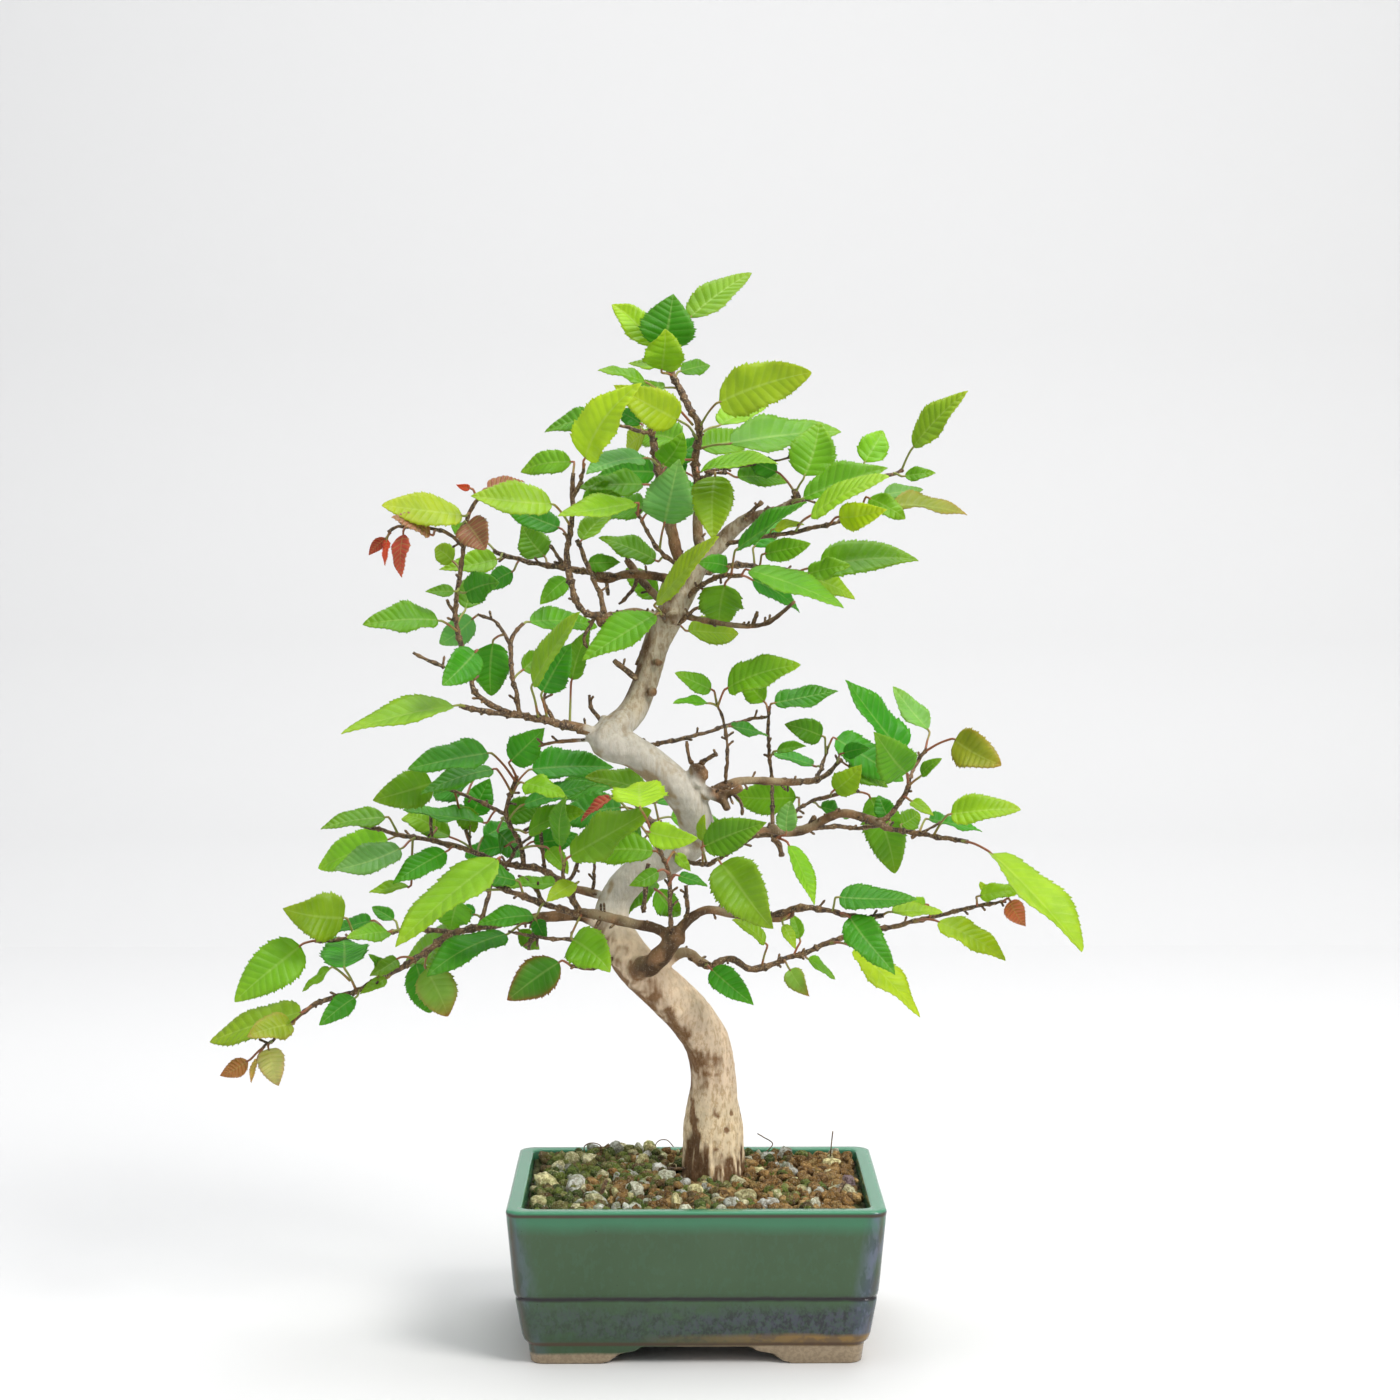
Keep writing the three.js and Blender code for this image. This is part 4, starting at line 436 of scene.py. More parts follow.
# Each spray: its twigs (first and last radius, places) and its leaves (where the stalk leaves the twig, where
# the blade starts, its point, the width seen from the front, its tone).
SPRAYS = {
    "low_left": (
        [(1.8, 0.9, [(-58, 171, 0), (-79.7, 168.5, -5), (-100, 164, -8), (-109.5, 157, -10),
                     (-124, 148.5, -12), (-138.5, 141, -13), (-155, 135.5, -14), (-169, 125, -15)]),
         (1.1, 0.8, [(-98, 164.6, -8), (-115, 166.5, -7), (-130, 163.5, -5), (-155, 161.3, -4)])],
        [((-156, 135.2, -14), (-161, 132, -16), (-199.5, 121, -8), 11, "fresh"),
         ((-163, 130.5, -14.5), (-165, 127, -18), (-182, 123, -30), 11, "olive"),
         ((-137, 141.5, -13), (-139, 138, -17), (-154, 126.5, -22), 9, "deep"),
         ((-139, 162.5, -5), (-143.2, 170.8, -9), (-168.5, 175, -16), 21, "fresh"),
         ((-152, 161.5, -4), (-161, 159.5, -8), (-188.5, 137, -14), 20, "fresh"),
         ((-126, 164.5, -5), (-132, 169.5, 3), (-151, 164, 8), 6, "deep"),
         ((-120, 165.5, -6), (-125, 165, -12), (-142, 163, -20), 7, "leaf"),
         ((-138.5, 141, -13), (-143.3, 150.5, -17), (-144.5, 161, 6), 20, "deep"),
         ((-115, 154, -11), (-121.5, 154, -17), (-133, 147, -23), 7, "leaf"),
         ((-109, 157.5, -10), (-110, 150, -5), (-101, 130, -3), 17, "dry"),
         ((-106, 160, -9), (-114, 152, 10), (-107, 131, 16), 15, "deep"),
         ((-92, 165.5, -7), (-96, 163, 6), (-117, 152, 26), 13, "fresh"),
         ((-66, 170.5, -2), (-77, 164, -10), (-110, 148, -21), 12, "deep"),
         ((-121, 165.3, -6), (-123, 170, -4), (-132, 175.5, 0), 6, "deep"),
         ((-124, 149.5, -12), (-126, 146, -13), (-137, 139.5, -15), 5, "fresh"),
         ((-96, 165, -8), (-99, 160, -4), (-110, 145, 2), 9, "leaf"),
         ((-85, 168, -6), (-90, 172, -2), (-106, 172, 6), 7, "deep"),
         ((-141, 145, -14), (-149, 150, -16), (-161, 141, -14), 3, "fresh"),
         ((-64, 171, -1), (-65, 170, -8), (-61, 162, -10), 7, "deep"),
         ((-70, 170, -3), (-72, 166, 4), (-64, 158, 8), 8, "leaf"),
         ((-130, 146, -12.5), (-128, 150, -18), (-133, 156, -22), 4, "leaf")]),
    "low_left_young": (
        [(0.8, 0.6, [(-166, 127.5, -15), (-171, 122, -12), (-177, 117, -11)])],
        [((-176, 118, -11), (-183, 112, -11), (-194.5, 105.5, -12), 8, "tan"),
         ((-173, 120, -11.4), (-174.5, 117, -16), (-171, 102, -20), 11.5, "cream"),
         ((-176.5, 117.5, -11), (-179, 113, -11), (-182, 103, -12), 2.5, "cream")]),
    "low_left_inner": (
        [(0.9, 0.7, [(-30, 157, 0), (-40.5, 150, -8), (-51.5, 151.3, -11)])],
        [((-51, 151.2, -11), (-55.5, 152.5, -11), (-77, 137, -12), 17, "edged")]),
    "low_left_front": (
        [(1.7, 1, [(-36, 171, -13.3), (-54, 174, -14), (-68, 179, -17), (-85, 185.5, -21)]),
         (0.9, 0.7, [(-48, 173.2, -13.8), (-53, 183, -20), (-54, 194, -26)])],
        [((-83, 184.6, -20.5), (-80.5, 195, -28), (-123.5, 161.5, -44), 14, "fresh"),
         ((-78, 182.5, -19.5), (-97, 178.5, -17), (-100, 166, -12), 15, "leaf"),
         ((-62, 176.8, -16), (-66, 171.5, -22), (-89, 167.5, -26), 8, "deep"),
         ((-46, 173, -13.6), (-50, 162, -20), (-35, 149.5, -26), 18, "leaf"),
         ((-53.8, 193, -26), (-51, 196, -28), (-17, 214, -34), 16, "fresh"),
         ((-51.5, 181, -18), (-48.5, 185, -26), (-61, 177, -32), 7, "lime"),
         ((-52.5, 182, -19), (-57, 184.5, -14), (-80, 184.5, -10), 5, "leaf"),
         ((-53.5, 191, -25), (-55, 200, -26), (-52, 221, -30), 9, "leaf"),
         ((-70, 179.7, -17.5), (-73, 186, -17), (-92, 190, -22), 8, "deep")]),
    "front_shoot": (
        [(1.0, 0.8, [(-9, 161, -13), (-10.4, 172, -19), (-10.5, 186, -22), (-12.4, 194, -24),
                     (-18, 206, -38)])],
        [((-12.4, 194, -24), (-17, 198, -22), (-47, 196, -17), 13, "leaf"),
         ((-17.3, 204, -37), (-19, 206, -42), (0.5, 203, -46), 11, "lime"),
         ((-17.6, 205.3, -37.4), (-22.4, 216, -45), (-22.8, 227, -26), 22, "lime"),
         ((-11, 184, -22), (-7, 188, -26), (5, 184, -28), 5, "deep"),
         ((-10.5, 177, -20.5), (-16, 182, -13), (-6, 171.5, -7), 11, "leaf"),
         ((-11, 189, -23), (-15, 190, -28), (-27, 184, -30), 7, "leaf"),
         ((-14, 197, -27), (-34, 220, -22), (-47, 210.5, -22), 3.5, "red"),
         ((-12, 193, -24), (-8, 197, -20), (-2, 190, -18), 5, "fresh")]),
    "left_middle": (
        [(1.6, 0.9, [(-50, 183, 14), (-64.5, 190.8, 18), (-80, 193.5, 20), (-97, 200.2, 21),
                     (-120.5, 205, 22), (-136, 209.3, 22)]),
         (1.2, 0.9, [(-70.5, 191.8, 18.8), (-71, 200, 17), (-77, 214, 12), (-72.5, 228.7, 9)]),
         (0.9, 0.7, [(-76.8, 213, 12.4), (-88, 218.5, 12), (-103, 224.5, 12)])],
        [((-118, 204.5, 22), (-125, 203, 28), (-154, 191.5, 36), 14, "fresh"),
         ((-114, 203.8, 21.5), (-120, 199.3, 15), (-147, 190, 6), 13, "pale"),
         ((-121, 205.1, 22), (-126, 212, 20), (-152.5, 208, 16), 9, "leaf"),
         ((-98, 200.4, 21), (-101.5, 198, 17), (-123.5, 185.5, 9), 11, "deep"),
         ((-92, 198.5, 20.6), (-91, 213, 24), (-83.5, 228, 26), 13, "deep"),
         ((-89, 197.3, 20.5), (-100, 204, 29), (-116, 209, 36), 9, "leaf"),
         ((-102, 224.1, 12), (-107, 226, 12), (-131, 219, 8), 17, "leaf"),
         ((-81, 215.3, 12), (-86, 210, 14), (-119, 214.5, 17), 5, "deep"),
         ((-93, 220.5, 12), (-91, 227, 17), (-106, 221, 32), 11, "deep"),
         ((-73, 226.5, 9.5), (-84, 238, 0), (-117, 231, -7), 12, "deep"),
         ((-74.5, 221.5, 10), (-82, 231.5, 4), (-112, 222.5, -2), 9, "deep"),
         ((-72.6, 228, 9), (-75, 235, 5), (-61.7, 247.6, 0), 15, "deep"),
         ((-73.5, 225, 9.6), (-66.5, 231.5, 12), (-33, 233, 18), 13, "deep"),
         ((-76, 211, 13), (-70, 217, 7), (-40, 226, 2), 8, "deep"),
         ((-74, 207, 14.5), (-68, 206, 10), (-45, 214, 4), 10, "leaf"),
         ((-71, 198, 17.5), (-66, 202, 20), (-48, 205, 26), 11, "deep"),
         ((-115, 203.9, 21.6), (-117, 184, 16), (-133, 181, 14), 4, "fresh"),
         ((-80, 193.5, 20), (-84, 187, 16), (-101, 181, 12), 8, "leaf"),
         ((-75, 208, 14), (-78, 212, 20), (-62, 218, 28), 12, "leaf"),
         ((-76.8, 213, 12.4), (-80, 206, 24), (-70, 196, 34), 11, "deep"),
         ((-72, 202, 16.5), (-78, 200, 26), (-94, 196, 34), 10, "deep"),
         ((-98, 222.8, 12), (-96, 216, 18), (-90, 206, 26), 10, "leaf"),
         ((-74, 222, 10), (-70, 226, -2), (-52, 219, -8), 9, "fresh"),
         ((-71.5, 199, 17), (-60, 199, 8), (-52, 189, 2), 8, "leaf"),
         ((-108, 202.3, 21.5), (-106, 208, 28), (-120, 213, 36), 10, "fresh"),
         ((-89, 197.3, 20.5), (-86, 204, 30), (-76, 209, 40), 9, "deep")]),
    "front_right": (
        [(1.0, 0.8, [(-5, 194, 0), (3, 192.5, -9), (9.6, 195, -14), (25.5, 204.5, -18), (35, 203.3, -20)])],
        [((4.5, 193, -10.5), (3.5, 200, -18), (29.5, 210, -24), 15, "leaf"),
         ((9, 194.8, -13.6), (10.5, 193, -22), (30.5, 166.5, -32), 22, "fresh"),
         ((33, 203.4, -19.7), (37, 206, -22), (38.8, 218.7, -21), 9, "pale"),
         ((34, 203.3, -19.9), (38, 200.5, -22), (48, 175.5, -27), 7.5, "fresh"),
         ((3, 192.6, -9), (3, 202, -12), (3.5, 213, -15), 4, "fresh")]),
    "right_low": (
        [(1.6, 0.9, [(30, 170.8, -14), (43.5, 174.7, -18), (55, 173.2, -21), (66, 170.8, -24),
                     (77, 171.3, -25)])],
        [((56, 173, -21.2), (58.5, 179, -25), (90.5, 178.4, -30), 10, "deep"),
         ((76, 171.3, -25), (80, 173, -25), (101, 173, -23), 5, "lime"),
         ((59, 172.4, -22.2), (63, 171, -28), (82, 148.5, -37), 15, "deep"),
         ((40, 173.3, -17), (36, 168, -18), (41, 158, -20), 5, "fresh")]),
    "right_lowest": (
        [(1.8, 0.9, [(-2, 155.3, 0.4), (5.3, 150.8, 1), (14, 154, 3), (24, 149.6, 5), (40.7, 155, 6),
                     (61.3, 162.8, 5), (81.3, 167.3, 3), (109.5, 174, -0.8)])],
        [((4, 151.3, 0.8), (6.5, 149.5, -6), (23.7, 134.2, -12), 12, "deep"),
         ((27, 150.3, 5.3), (28.5, 160, 1), (15, 170, -2), 6, "fresh"),
         ((40, 154.8, 6), (42.5, 162, 7), (39, 172.5, 10), 6, "fresh"),
         ((36, 153.4, 5.8), (38.5, 149.5, 1), (46.2, 138.4, -4), 9, "dry"),
         ((44, 156, 6), (46, 153.8, 11), (58, 146, 16), 5, "leaf"),
         ((54.7, 160.3, 5.5), (65, 158, -3), (92.4, 130.3, -12), 11, "lime"),
         ((89, 169, 2), (99, 169, -6), (127.3, 154.7, -13), 10, "lime"),
         ((96, 170.5, 1), (94, 176, -2), (84, 176.5, -6), 7, "fresh")]),
    "right_lowest_young": (
        [(0.9, 0.7, [(104, 172.7, -0.4), (118.5, 176, -3), (127, 177.3, -4)])],
        [((115, 175.4, -2.4), (116, 179.5, -6), (133.5, 183, -9), 7, "lime"),
         ((125.5, 177.1, -3.8), (128.5, 177.5, -7), (135, 167, -10), 9, "salmon"),
         ((120, 176.3, -3.2), (118, 181.5, -2), (116, 185.5, 0), 3, "lime")]),
    "right_middle": (
        [(1.7, 0.9, [(66, 212.3, 6.6), (82.7, 206.5, 4), (111, 202, -2)]),
         (1.1, 0.9, [(43, 206.5, 10), (57.7, 208.4, 13.5), (66.2, 207.4, 13.5), (77, 209.3, 5.2)]),
         (1.3, 0.9, [(75, 209.8, 5.6), (80, 213.5, 6), (86, 223, 4), (86.5, 229, 4)]),
         (0.9, 0.7, [(86.5, 227, 4), (90, 234, 10), (94, 240, 11)])],
        [((108, 202.4, -1.4), (120.5, 197, -10), (158, 156.5, -30), 9, "lime"),
         ((97, 204.3, 1), (104, 213, -5), (132, 216.5, -10), 12, "fresh"),
         ((91, 205, 2), (95, 211, 10), (117, 206.3, 14), 6, "deep"),
         ((78, 208.3, 5), (79, 211, 12), (74.5, 221, 16), 9, "deep"),
         ((84, 206.3, 3.8), (84, 209, 10), (91, 214, 20), 10, "leaf"),
         ((86.4, 227.5, 4), (84, 238, 7), (61, 268, 0), 15, "deep"),
         ((86.4, 226, 4), (86, 230, -3), (74, 245.5, -15), 18, "leaf"),
         ((84.5, 220.5, 4.6), (88, 218.5, 1), (97, 213, -4), 5, "fresh"),
         ((93.5, 239.3, 11), (94.5, 247.5, 14), (80, 265, 20), 9, "pale"),
         ((93.2, 238.6, 11), (105.5, 243.5, 6), (124.5, 233, -4), 17, "olive"),
         ((86.3, 224, 4), (92, 229, 1), (100, 236, -2), 5, "leaf")]),
    "right_middle_upper": (
        [(0.9, 0.7, [(37, 206.5, 10), (42.5, 215.8, 12), (55.8, 221, 14), (67, 222.5, 16)])],
        [((65.5, 222.3, 15.8), (71, 220, 19), (81.5, 189.5, 24), 18, "leaf"),
         ((55, 220.7, 14), (56.5, 223, 7), (67.5, 233, 0), 12, "fresh"),
         ((42.3, 215.3, 12), (41, 220, 22), (15, 221, 30), 15, "fresh"),
         ((48, 218.2, 13), (51, 216, 18), (62, 211, 24), 6, "deep")]),
    "right_upper": (
        [(1.5, 0.9, [(33, 226.5, 8.5), (49.6, 227.2, 14), (59.5, 235.7, 18)]),
         (0.9, 0.7, [(48.5, 227, 13.6), (52.5, 235, 22), (54, 241, 22)])],
        [((53.8, 240, 22), (57, 244, 22), (85, 227, 20), 15, "deep"),
         ((53, 238, 22), (51.5, 245, 18), (36, 250, 16), 11, "leaf"),
         ((51, 232.5, 20), (48, 233, 24), (31, 238.5, 30), 5, "deep"),
         ((57.5, 234, 17.2), (60, 238, 11), (71, 240, 6), 7, "deep"),
         ((58.5, 235, 17.6), (62, 233, 20), (78, 224, 26), 9, "leaf")]),
    "right_twig_behind": (
        [(0.9, 0.7, [(31.6, 206, 10), (31.5, 216, 14), (31, 228.4, 20), (29.8, 240, 17), (29.8, 257, 12)])],
        [((29.8, 255.5, 12.4), (32, 258.5, 9), (58, 263.4, 10), 9, "deep"),
         ((29.8, 253.5, 13), (28, 259, 17), (19, 269, 22), 11, "leaf"),
         ((30.3, 236, 17.6), (33, 239, 14), (45, 241, 10), 5, "leaf")]),
    "right_twig_front": (
        [(0.8, 0.6, [(11.6, 224.7, -1), (13, 235, -5), (12.3, 247, -6), (8.6, 258.3, -6)])],
        [((9, 257, -6), (13, 264.5, -10), (41.5, 275, -17), 13, "leaf"),
         ((12, 248, -6), (14.5, 249, -1), (30, 246.3, 4), 5, "deep"),
         ((8.8, 257.6, -6), (6.5, 264, -4), (-8.5, 270.7, -7), 8, "leaf"),
         ((8.8, 257.4, -6), (5, 258.5, -8), (-9, 258.8, -12), 3, "leaf")]),
    "apex_low_right": (
        [(1.2, 0.9, [(-4, 301, 4), (3, 307, -2), (11, 310, -7), (19, 310, -10)])],
        [((16, 310.2, -9), (12, 306.5, -1), (9.5, 289, 8), 19, "leaf"),
         ((12, 310.1, -7.4), (13, 314, -12), (1.5, 315.5, -18), 8, "deep"),
         ((14.5, 310.2, -8.4), (17, 321, -17), (45.5, 339.5, -28), 8, "deep"),
         ((18.5, 310, -9.8), (21.5, 312.5, -14), (60.5, 299.5, -24), 10, "leaf"),
         ((17.5, 310.1, -9.6), (23, 308.5, -3), (43, 296, 4), 10, "deep")]),
    "apex_low_behind": (
        [],
        [((-9, 291.5, 5), (-3, 288, 12), (18, 287, 22), 12, "fresh")]),
    "left_high": (
        [(1.9, 0.9, [(-42, 246.8, -6.9), (-63.7, 252.3, -10), (-77.7, 254.2, -12), (-96, 257.5, -15)]),
         (1.2, 0.8, [(-73, 253.6, -11.3), (-87, 260.5, -12), (-91.5, 270, -12), (-97, 294, -12),
                     (-94.5, 315, -14), (-92, 333, -15), (-87, 342.5, -16)]),
         (1.0, 0.8, [(-71, 253.4, -11), (-74, 269.8, -9), (-74.5, 284.3, -7), (-69.5, 291, -6)]),
         (0.8, 0.6, [(-74.4, 281, -7.4), (-80, 290.5, -3), (-88, 295, -1)])],
        [((-93, 257, -14.5), (-98, 257.5, -18), (-144, 248, -27), 9, "fresh"),
         ((-63.7, 252.3, -10), (-66, 266, -23), (-47.5, 296, -33), 8, "lime"),
         ((-60, 251.8, -9.4), (-62, 263, -15), (-50, 283, -19), 15, "deep"),
         ((-51, 249.8, -8.2), (-50, 268, -4), (-42.5, 289, -1), 10, "leaf"),
         ((-93, 276, -12), (-89, 279.5, -19), (-102.5, 266, -28), 14, "deep"),
         ((-95.6, 287, -12), (-104, 292, -15), (-134.5, 291, -22), 11, "leaf"),
         ((-87, 294.3, -1.2), (-90, 293, 4), (-104.5, 282, 10), 12, "pale"),
         ((-77.5, 286.5, -5), (-82, 283, 1), (-83, 261, 6), 17, "deep"),
         ((-70, 290.3, -6), (-67, 291.5, -2), (-40, 289, 8), 9, "leaf"),
         ((-95.9, 303, -13), (-93, 303.5, -19), (-79, 307.5, -26), 13, "deep"),
         ((-95.8, 305, -13.1), (-97.5, 304, -17), (-109, 304.5, -19), 5, "leaf"),
         ((-91, 335.5, -15.2), (-94, 334.5, -19), (-127, 338, -27), 12, "lime"),
         ((-88, 341, -16), (-91, 345.5, -17), (-96.5, 347, -18), 3, "red"),
         ((-87.5, 342, -16), (-84, 345.5, -15), (-69, 349, -12), 4, "brown"),
         ((-96.5, 291, -12), (-93, 297, -8), (-88, 312, 0), 12, "leaf"),
         ((-94.8, 312, -13.7), (-98, 316, -10), (-106, 322, -4), 9, "fresh"),
         ((-74, 268, -9.2), (-70, 272, -5), (-60, 279, 2), 9, "leaf")]),
    "left_high_young": (
        [(0.8, 0.6, [(-93.5, 322, -14.4), (-103, 328.5, -19), (-118, 330, -22), (-124, 327.5, -22)])],
        [((-105, 328.8, -19.4), (-107, 327, -23), (-123, 333.5, -29), 7, "brown"),
         ((-123, 327.9, -22), (-125, 325.5, -22), (-132, 318.5, -22), 5, "red"),
         ((-117, 329.9, -22), (-118, 327, -25), (-118.5, 309.5, -29), 7, "red"),
         ((-96.5, 326, -16), (-92.5, 331.5, -20), (-84.5, 320.5, -25), 14, "brown"),
         ((-123.5, 327.7, -22), (-124.5, 325, -23), (-126, 314.5, -24), 2.5, "red")]),
    "upper_left": (
        [(1.7, 1, [(-33, 294, -3), (-45, 295.5, -7), (-50.5, 308, -8), (-52, 320, -8), (-50, 332, -9),
                   (-49.5, 352, -10)]),
         (1.1, 0.9, [(-37, 293.6, -4.4), (-38.5, 302, -2), (-43, 313, 1), (-48, 325, 1)]),
         (0.9, 0.7, [(-49.8, 341, -9.5), (-46.5, 348, -12), (-45, 355, -17)])],
        [((-50.3, 330, -9), (-58, 339, -16), (-89.5, 343.5, -26), 13, "lime"),
         ((-51, 325, -8.4), (-55, 329.5, -5), (-76, 338, -1), 10, "deep"),
         ((-45.1, 354, -16.3), (-44.5, 357.5, -19), (-23.5, 388, -28), 17, "lime"),
         ((-49.6, 347, -9.8), (-50, 356, -6), (-71, 352.5, 0), 10, "leaf"),
         ((-46.5, 321, 1), (-46, 324.5, 4), (-33.5, 337, 10), 8, "fresh"),
         ((-42.5, 312, 0.8), (-43.5, 315.5, 5), (-30.5, 315.5, 9), 8, "leaf"),
         ((-50.2, 333, -9), (-46, 338, -4), (-28, 346, 4), 12, "leaf")]),
    "upper_left_far": (
        [(1.6, 0.9, [(-32, 309.5, 9), (-48, 312.5, 7), (-66, 315.5, 7), (-82, 320.5, 7)])],
        [((-60, 314.5, 7), (-61, 318, 11), (-70, 331, 18), 14, "leaf"),
         ((-78, 319.2, 7), (-80, 317, 3), (-103.5, 312, -1), 10, "fresh"),
         ((-52, 313.1, 7), (-52, 309, 2), (-62.5, 299, -3), 9, "leaf"),
         ((-81, 320.2, 7), (-85, 324, 10), (-99, 331, 16), 9, "leaf"),
         ((-71, 316.9, 7), (-74, 312, 12), (-84, 304, 20), 9, "deep")]),
    "trunk_front": (
        [(0.9, 0.8, [(-12, 292, 1), (-13.5, 294.5, -6)])],
        [((-13.3, 294.2, -5), (-16, 294.5, -9), (-46, 276, -17), 13, "leaf"),
         ((-13.2, 294, -4.6), (-16, 299, -10), (8, 327, -21), 7, "lime")]),
    "leader_stem": (
        [(1.0, 0.7, [(-5.5, 314, 6.4), (-14, 320, -1), (-20, 329, -3), (-24, 336, -5)])],
        [((-23.3, 334.5, -4.8), (-24, 339.5, -8), (-55.5, 335, -18), 9, "fresh"),
         ((-14.5, 320.8, -1.2), (-12.5, 331.5, -15), (-7, 356, -24), 21, "pale"),
         ((-12.5, 318, 0.6), (-16, 316.5, 5), (-39, 326, 6), 10, "leaf"),
         ((-22, 332, -4), (-18, 337, -6), (-10, 343, -8), 7, "lime")]),
    "leader_behind": (
        [],
        [((-12, 309.8, 7.2), (-16, 301, 17), (-28, 313, 24), 11, "leaf")]),
    "leader_top": (
        [(1.8, 1.2, [(-12.2, 339, 8.7), (-14.6, 352, 9.3), (-17.5, 368, 10), (-16.5, 375, 10)]),
         (0.8, 0.6, [(-17.4, 367.5, 10), (-26, 369.5, 8), (-36, 372.5, 8)])],
        [((-13.2, 345, 9), (-21, 347, 3), (-47, 345, -1), 10, "leaf"),
         ((-15, 354.5, 9.3), (-21, 357.5, -3), (-44, 351, -13), 9, "pale"),
         ((-16.9, 364, 9.8), (-20, 368, 17), (-28, 361.5, 30), 10, "lime"),
         ((-35, 372.2, 8), (-39, 373, 11), (-61, 368.5, 15), 8, "leaf"),
         ((-22, 368.8, 8.8), (-22, 371.5, 14), (-32, 377, 20), 8, "deep"),
         ((-14.3, 350, 9.2), (-10, 356, 14), (2, 366, 20), 10, "deep")]),
    "second_leader": (
        [(1.8, 1.1, [(1.3, 336, 9), (1.5, 346, 8.8), (0, 356, 7), (1.5, 370, 5), (-1.5, 376, 5),
                     (-5, 383, 7), (-9, 391, 8), (-9, 402, 11), (-4, 412, 13)]),
         (0.9, 0.7, [(1.2, 348, 8.5), (5.5, 351, 2), (12, 352.3, -2)])],
        [((8, 351.8, 0), (8, 350.5, -6), (7, 325, -14), 18, "fresh"),
         ((0.4, 353, 7.6), (2, 352.2, -10), (33, 357, -20), 6, "leaf"),
         ((0.1, 357, 6.9), (-13, 355, -5), (-5, 367, -11), 12, "leaf"),
         ((0.6, 361, 6.4), (14, 363.5, 4), (59, 369.5, 12), 15, "leaf"),
         ((1.2, 367, 5.5), (10, 371, 13), (30, 381, 24), 9, "fresh"),
         ((1.4, 369.5, 5.2), (9.5, 380, -4), (47, 392, -11), 20, "lime"),
         ((1, 365, 5.8), (-7, 373, -12), (-33, 387, -19), 17, "lime"),
         ((-1, 371, 5), (-20, 388, -4), (-39, 393.5, -8), 4, "leaf"),
         ((-8.8, 390.5, 8), (-13.5, 393, 4), (-12, 409, -3), 17.5, "fresh"),
         ((-9.3, 399, 10.3), (-17, 403, 12), (-33.5, 420, 17), 13, "fresh"),
         ((-9, 402, 11), (-13, 401.5, 9), (-9, 423.5, 8), 24, "deep"),
         ((-5, 410, 12.7), (-2, 414, 14), (22.5, 433, 20), 12, "fresh"),
         ((-8.5, 389, 7.8), (-6, 392.5, 12), (6, 395, 18), 7, "leaf"),
         ((-6.5, 385.5, 7.3), (-12, 386, 8), (-30, 386, 12), 5, "leaf"),
         ((-8.9, 393, 8.6), (-14, 395, 12), (-27, 396, 16), 4, "fresh"),
         ((1.3, 348, 8.6), (-4, 352, 15), (-18, 360, 24), 11, "deep"),
         ((10, 352, -1), (17, 350, 6), (38, 348, 14), 9, "leaf")]),
    "right_end": (
        [(2.0, 1.3, [(28, 335.6, 0), (37, 338, -2), (41, 341, -3), (40, 345, -3)]),
         (1.0, 0.7, [(37, 338, -2), (50, 343, 6), (65, 346.5, 9), (84, 353, 12)])],
        [((38.5, 339.2, -2.4), (43.5, 341.5, -10), (77, 355, -15), 12, "leaf"),
         ((40.4, 343.6, -3), (44, 350.5, -6), (50, 373, -2), 20, "leaf"),
         ((75, 349.7, 10.6), (68.5, 356, 9), (75.5, 368.5, 14), 13, "fresh"),
         ((80, 351.6, 11.4), (84.5, 350.5, 9), (97, 352, 7), 6, "leaf"),
         ((83.3, 352.8, 12), (88, 362, 9), (109.5, 385, 2), 11, "fresh"),
         ((39.8, 344.5, -3), (33, 352, 2), (20, 358, 8), 9, "deep")]),
    "right_lower_twig": (
        [(1.0, 0.8, [(9, 322.5, 5), (22, 325, 0), (40, 328, -5), (54, 331, -8), (66, 334, -7),
                     (76, 340, 0)])],
        [((40.5, 328.1, -5.2), (46.5, 334.5, -18), (77, 352, -28), 8, "lime"),
         ((54.5, 331.2, -8), (58, 334, -12), (77.5, 337, -20), 12, "lime"),
         ((66, 334, -7), (70, 341.5, -11), (85, 333, -16), 9, "fresh"),
         ((75.2, 339.5, -0.6), (79, 338.5, -2), (110, 335.5, -4), 7, "olive"),
         ((74, 338.6, -1.4), (76, 343, 3), (92, 344.5, 6), 6, "pale"),
         ((30, 326.5, -2), (32, 329, -4), (44, 331, -7), 4, "lime")]),
    "right_behind": (
        [(1.5, 0.9, [(2, 311.5, 6), (17, 314.5, 14), (32, 312.5, 18), (42, 311.5, 20)])],
        [((41, 311.6, 19.8), (50, 313.5, 14), (90, 318, 9), 16, "leaf"),
         ((35, 312.2, 18.6), (45.5, 311, 7), (62, 315, 1), 9, "fresh"),
         ((38, 311.9, 19.2), (48.5, 309, 25), (65, 301, 28), 9, "fresh"),
         ((26, 313.4, 16.4), (28, 319, 13), (46, 323, 8), 10, "leaf"),
         ((24, 313.6, 15.8), (24, 322, 20), (36, 334, 28), 11, "deep")]),
    "back_low": (
        [(2.2, 1, [(-8, 197, 4), (-14, 206, 18), (-22, 214, 32), (-26, 222, 42)])],
        [((-22, 213.5, 31), (-30, 216, 28), (-62, 212, 34), 14, "deep"),
         ((-25, 219.5, 39), (-34, 224, 46), (-58, 222, 60), 14, "deep"),
         ((-25.7, 221, 41), (-20, 226, 47), (-8, 226, 63.6), 14, "leaf"),
         ((-18, 210, 25), (-10, 212, 28), (14, 208, 40), 13, "leaf"),
         ((-24, 217, 36), (-16, 218, 40), (2, 222, 52), 12, "deep"),
         ((-15, 207, 19), (-22, 203, 26), (-40, 200, 40), 12, "leaf"),
         ((-14, 206, 18), (-19, 222, 8), (-45, 228, 6), 10, "leaf"),
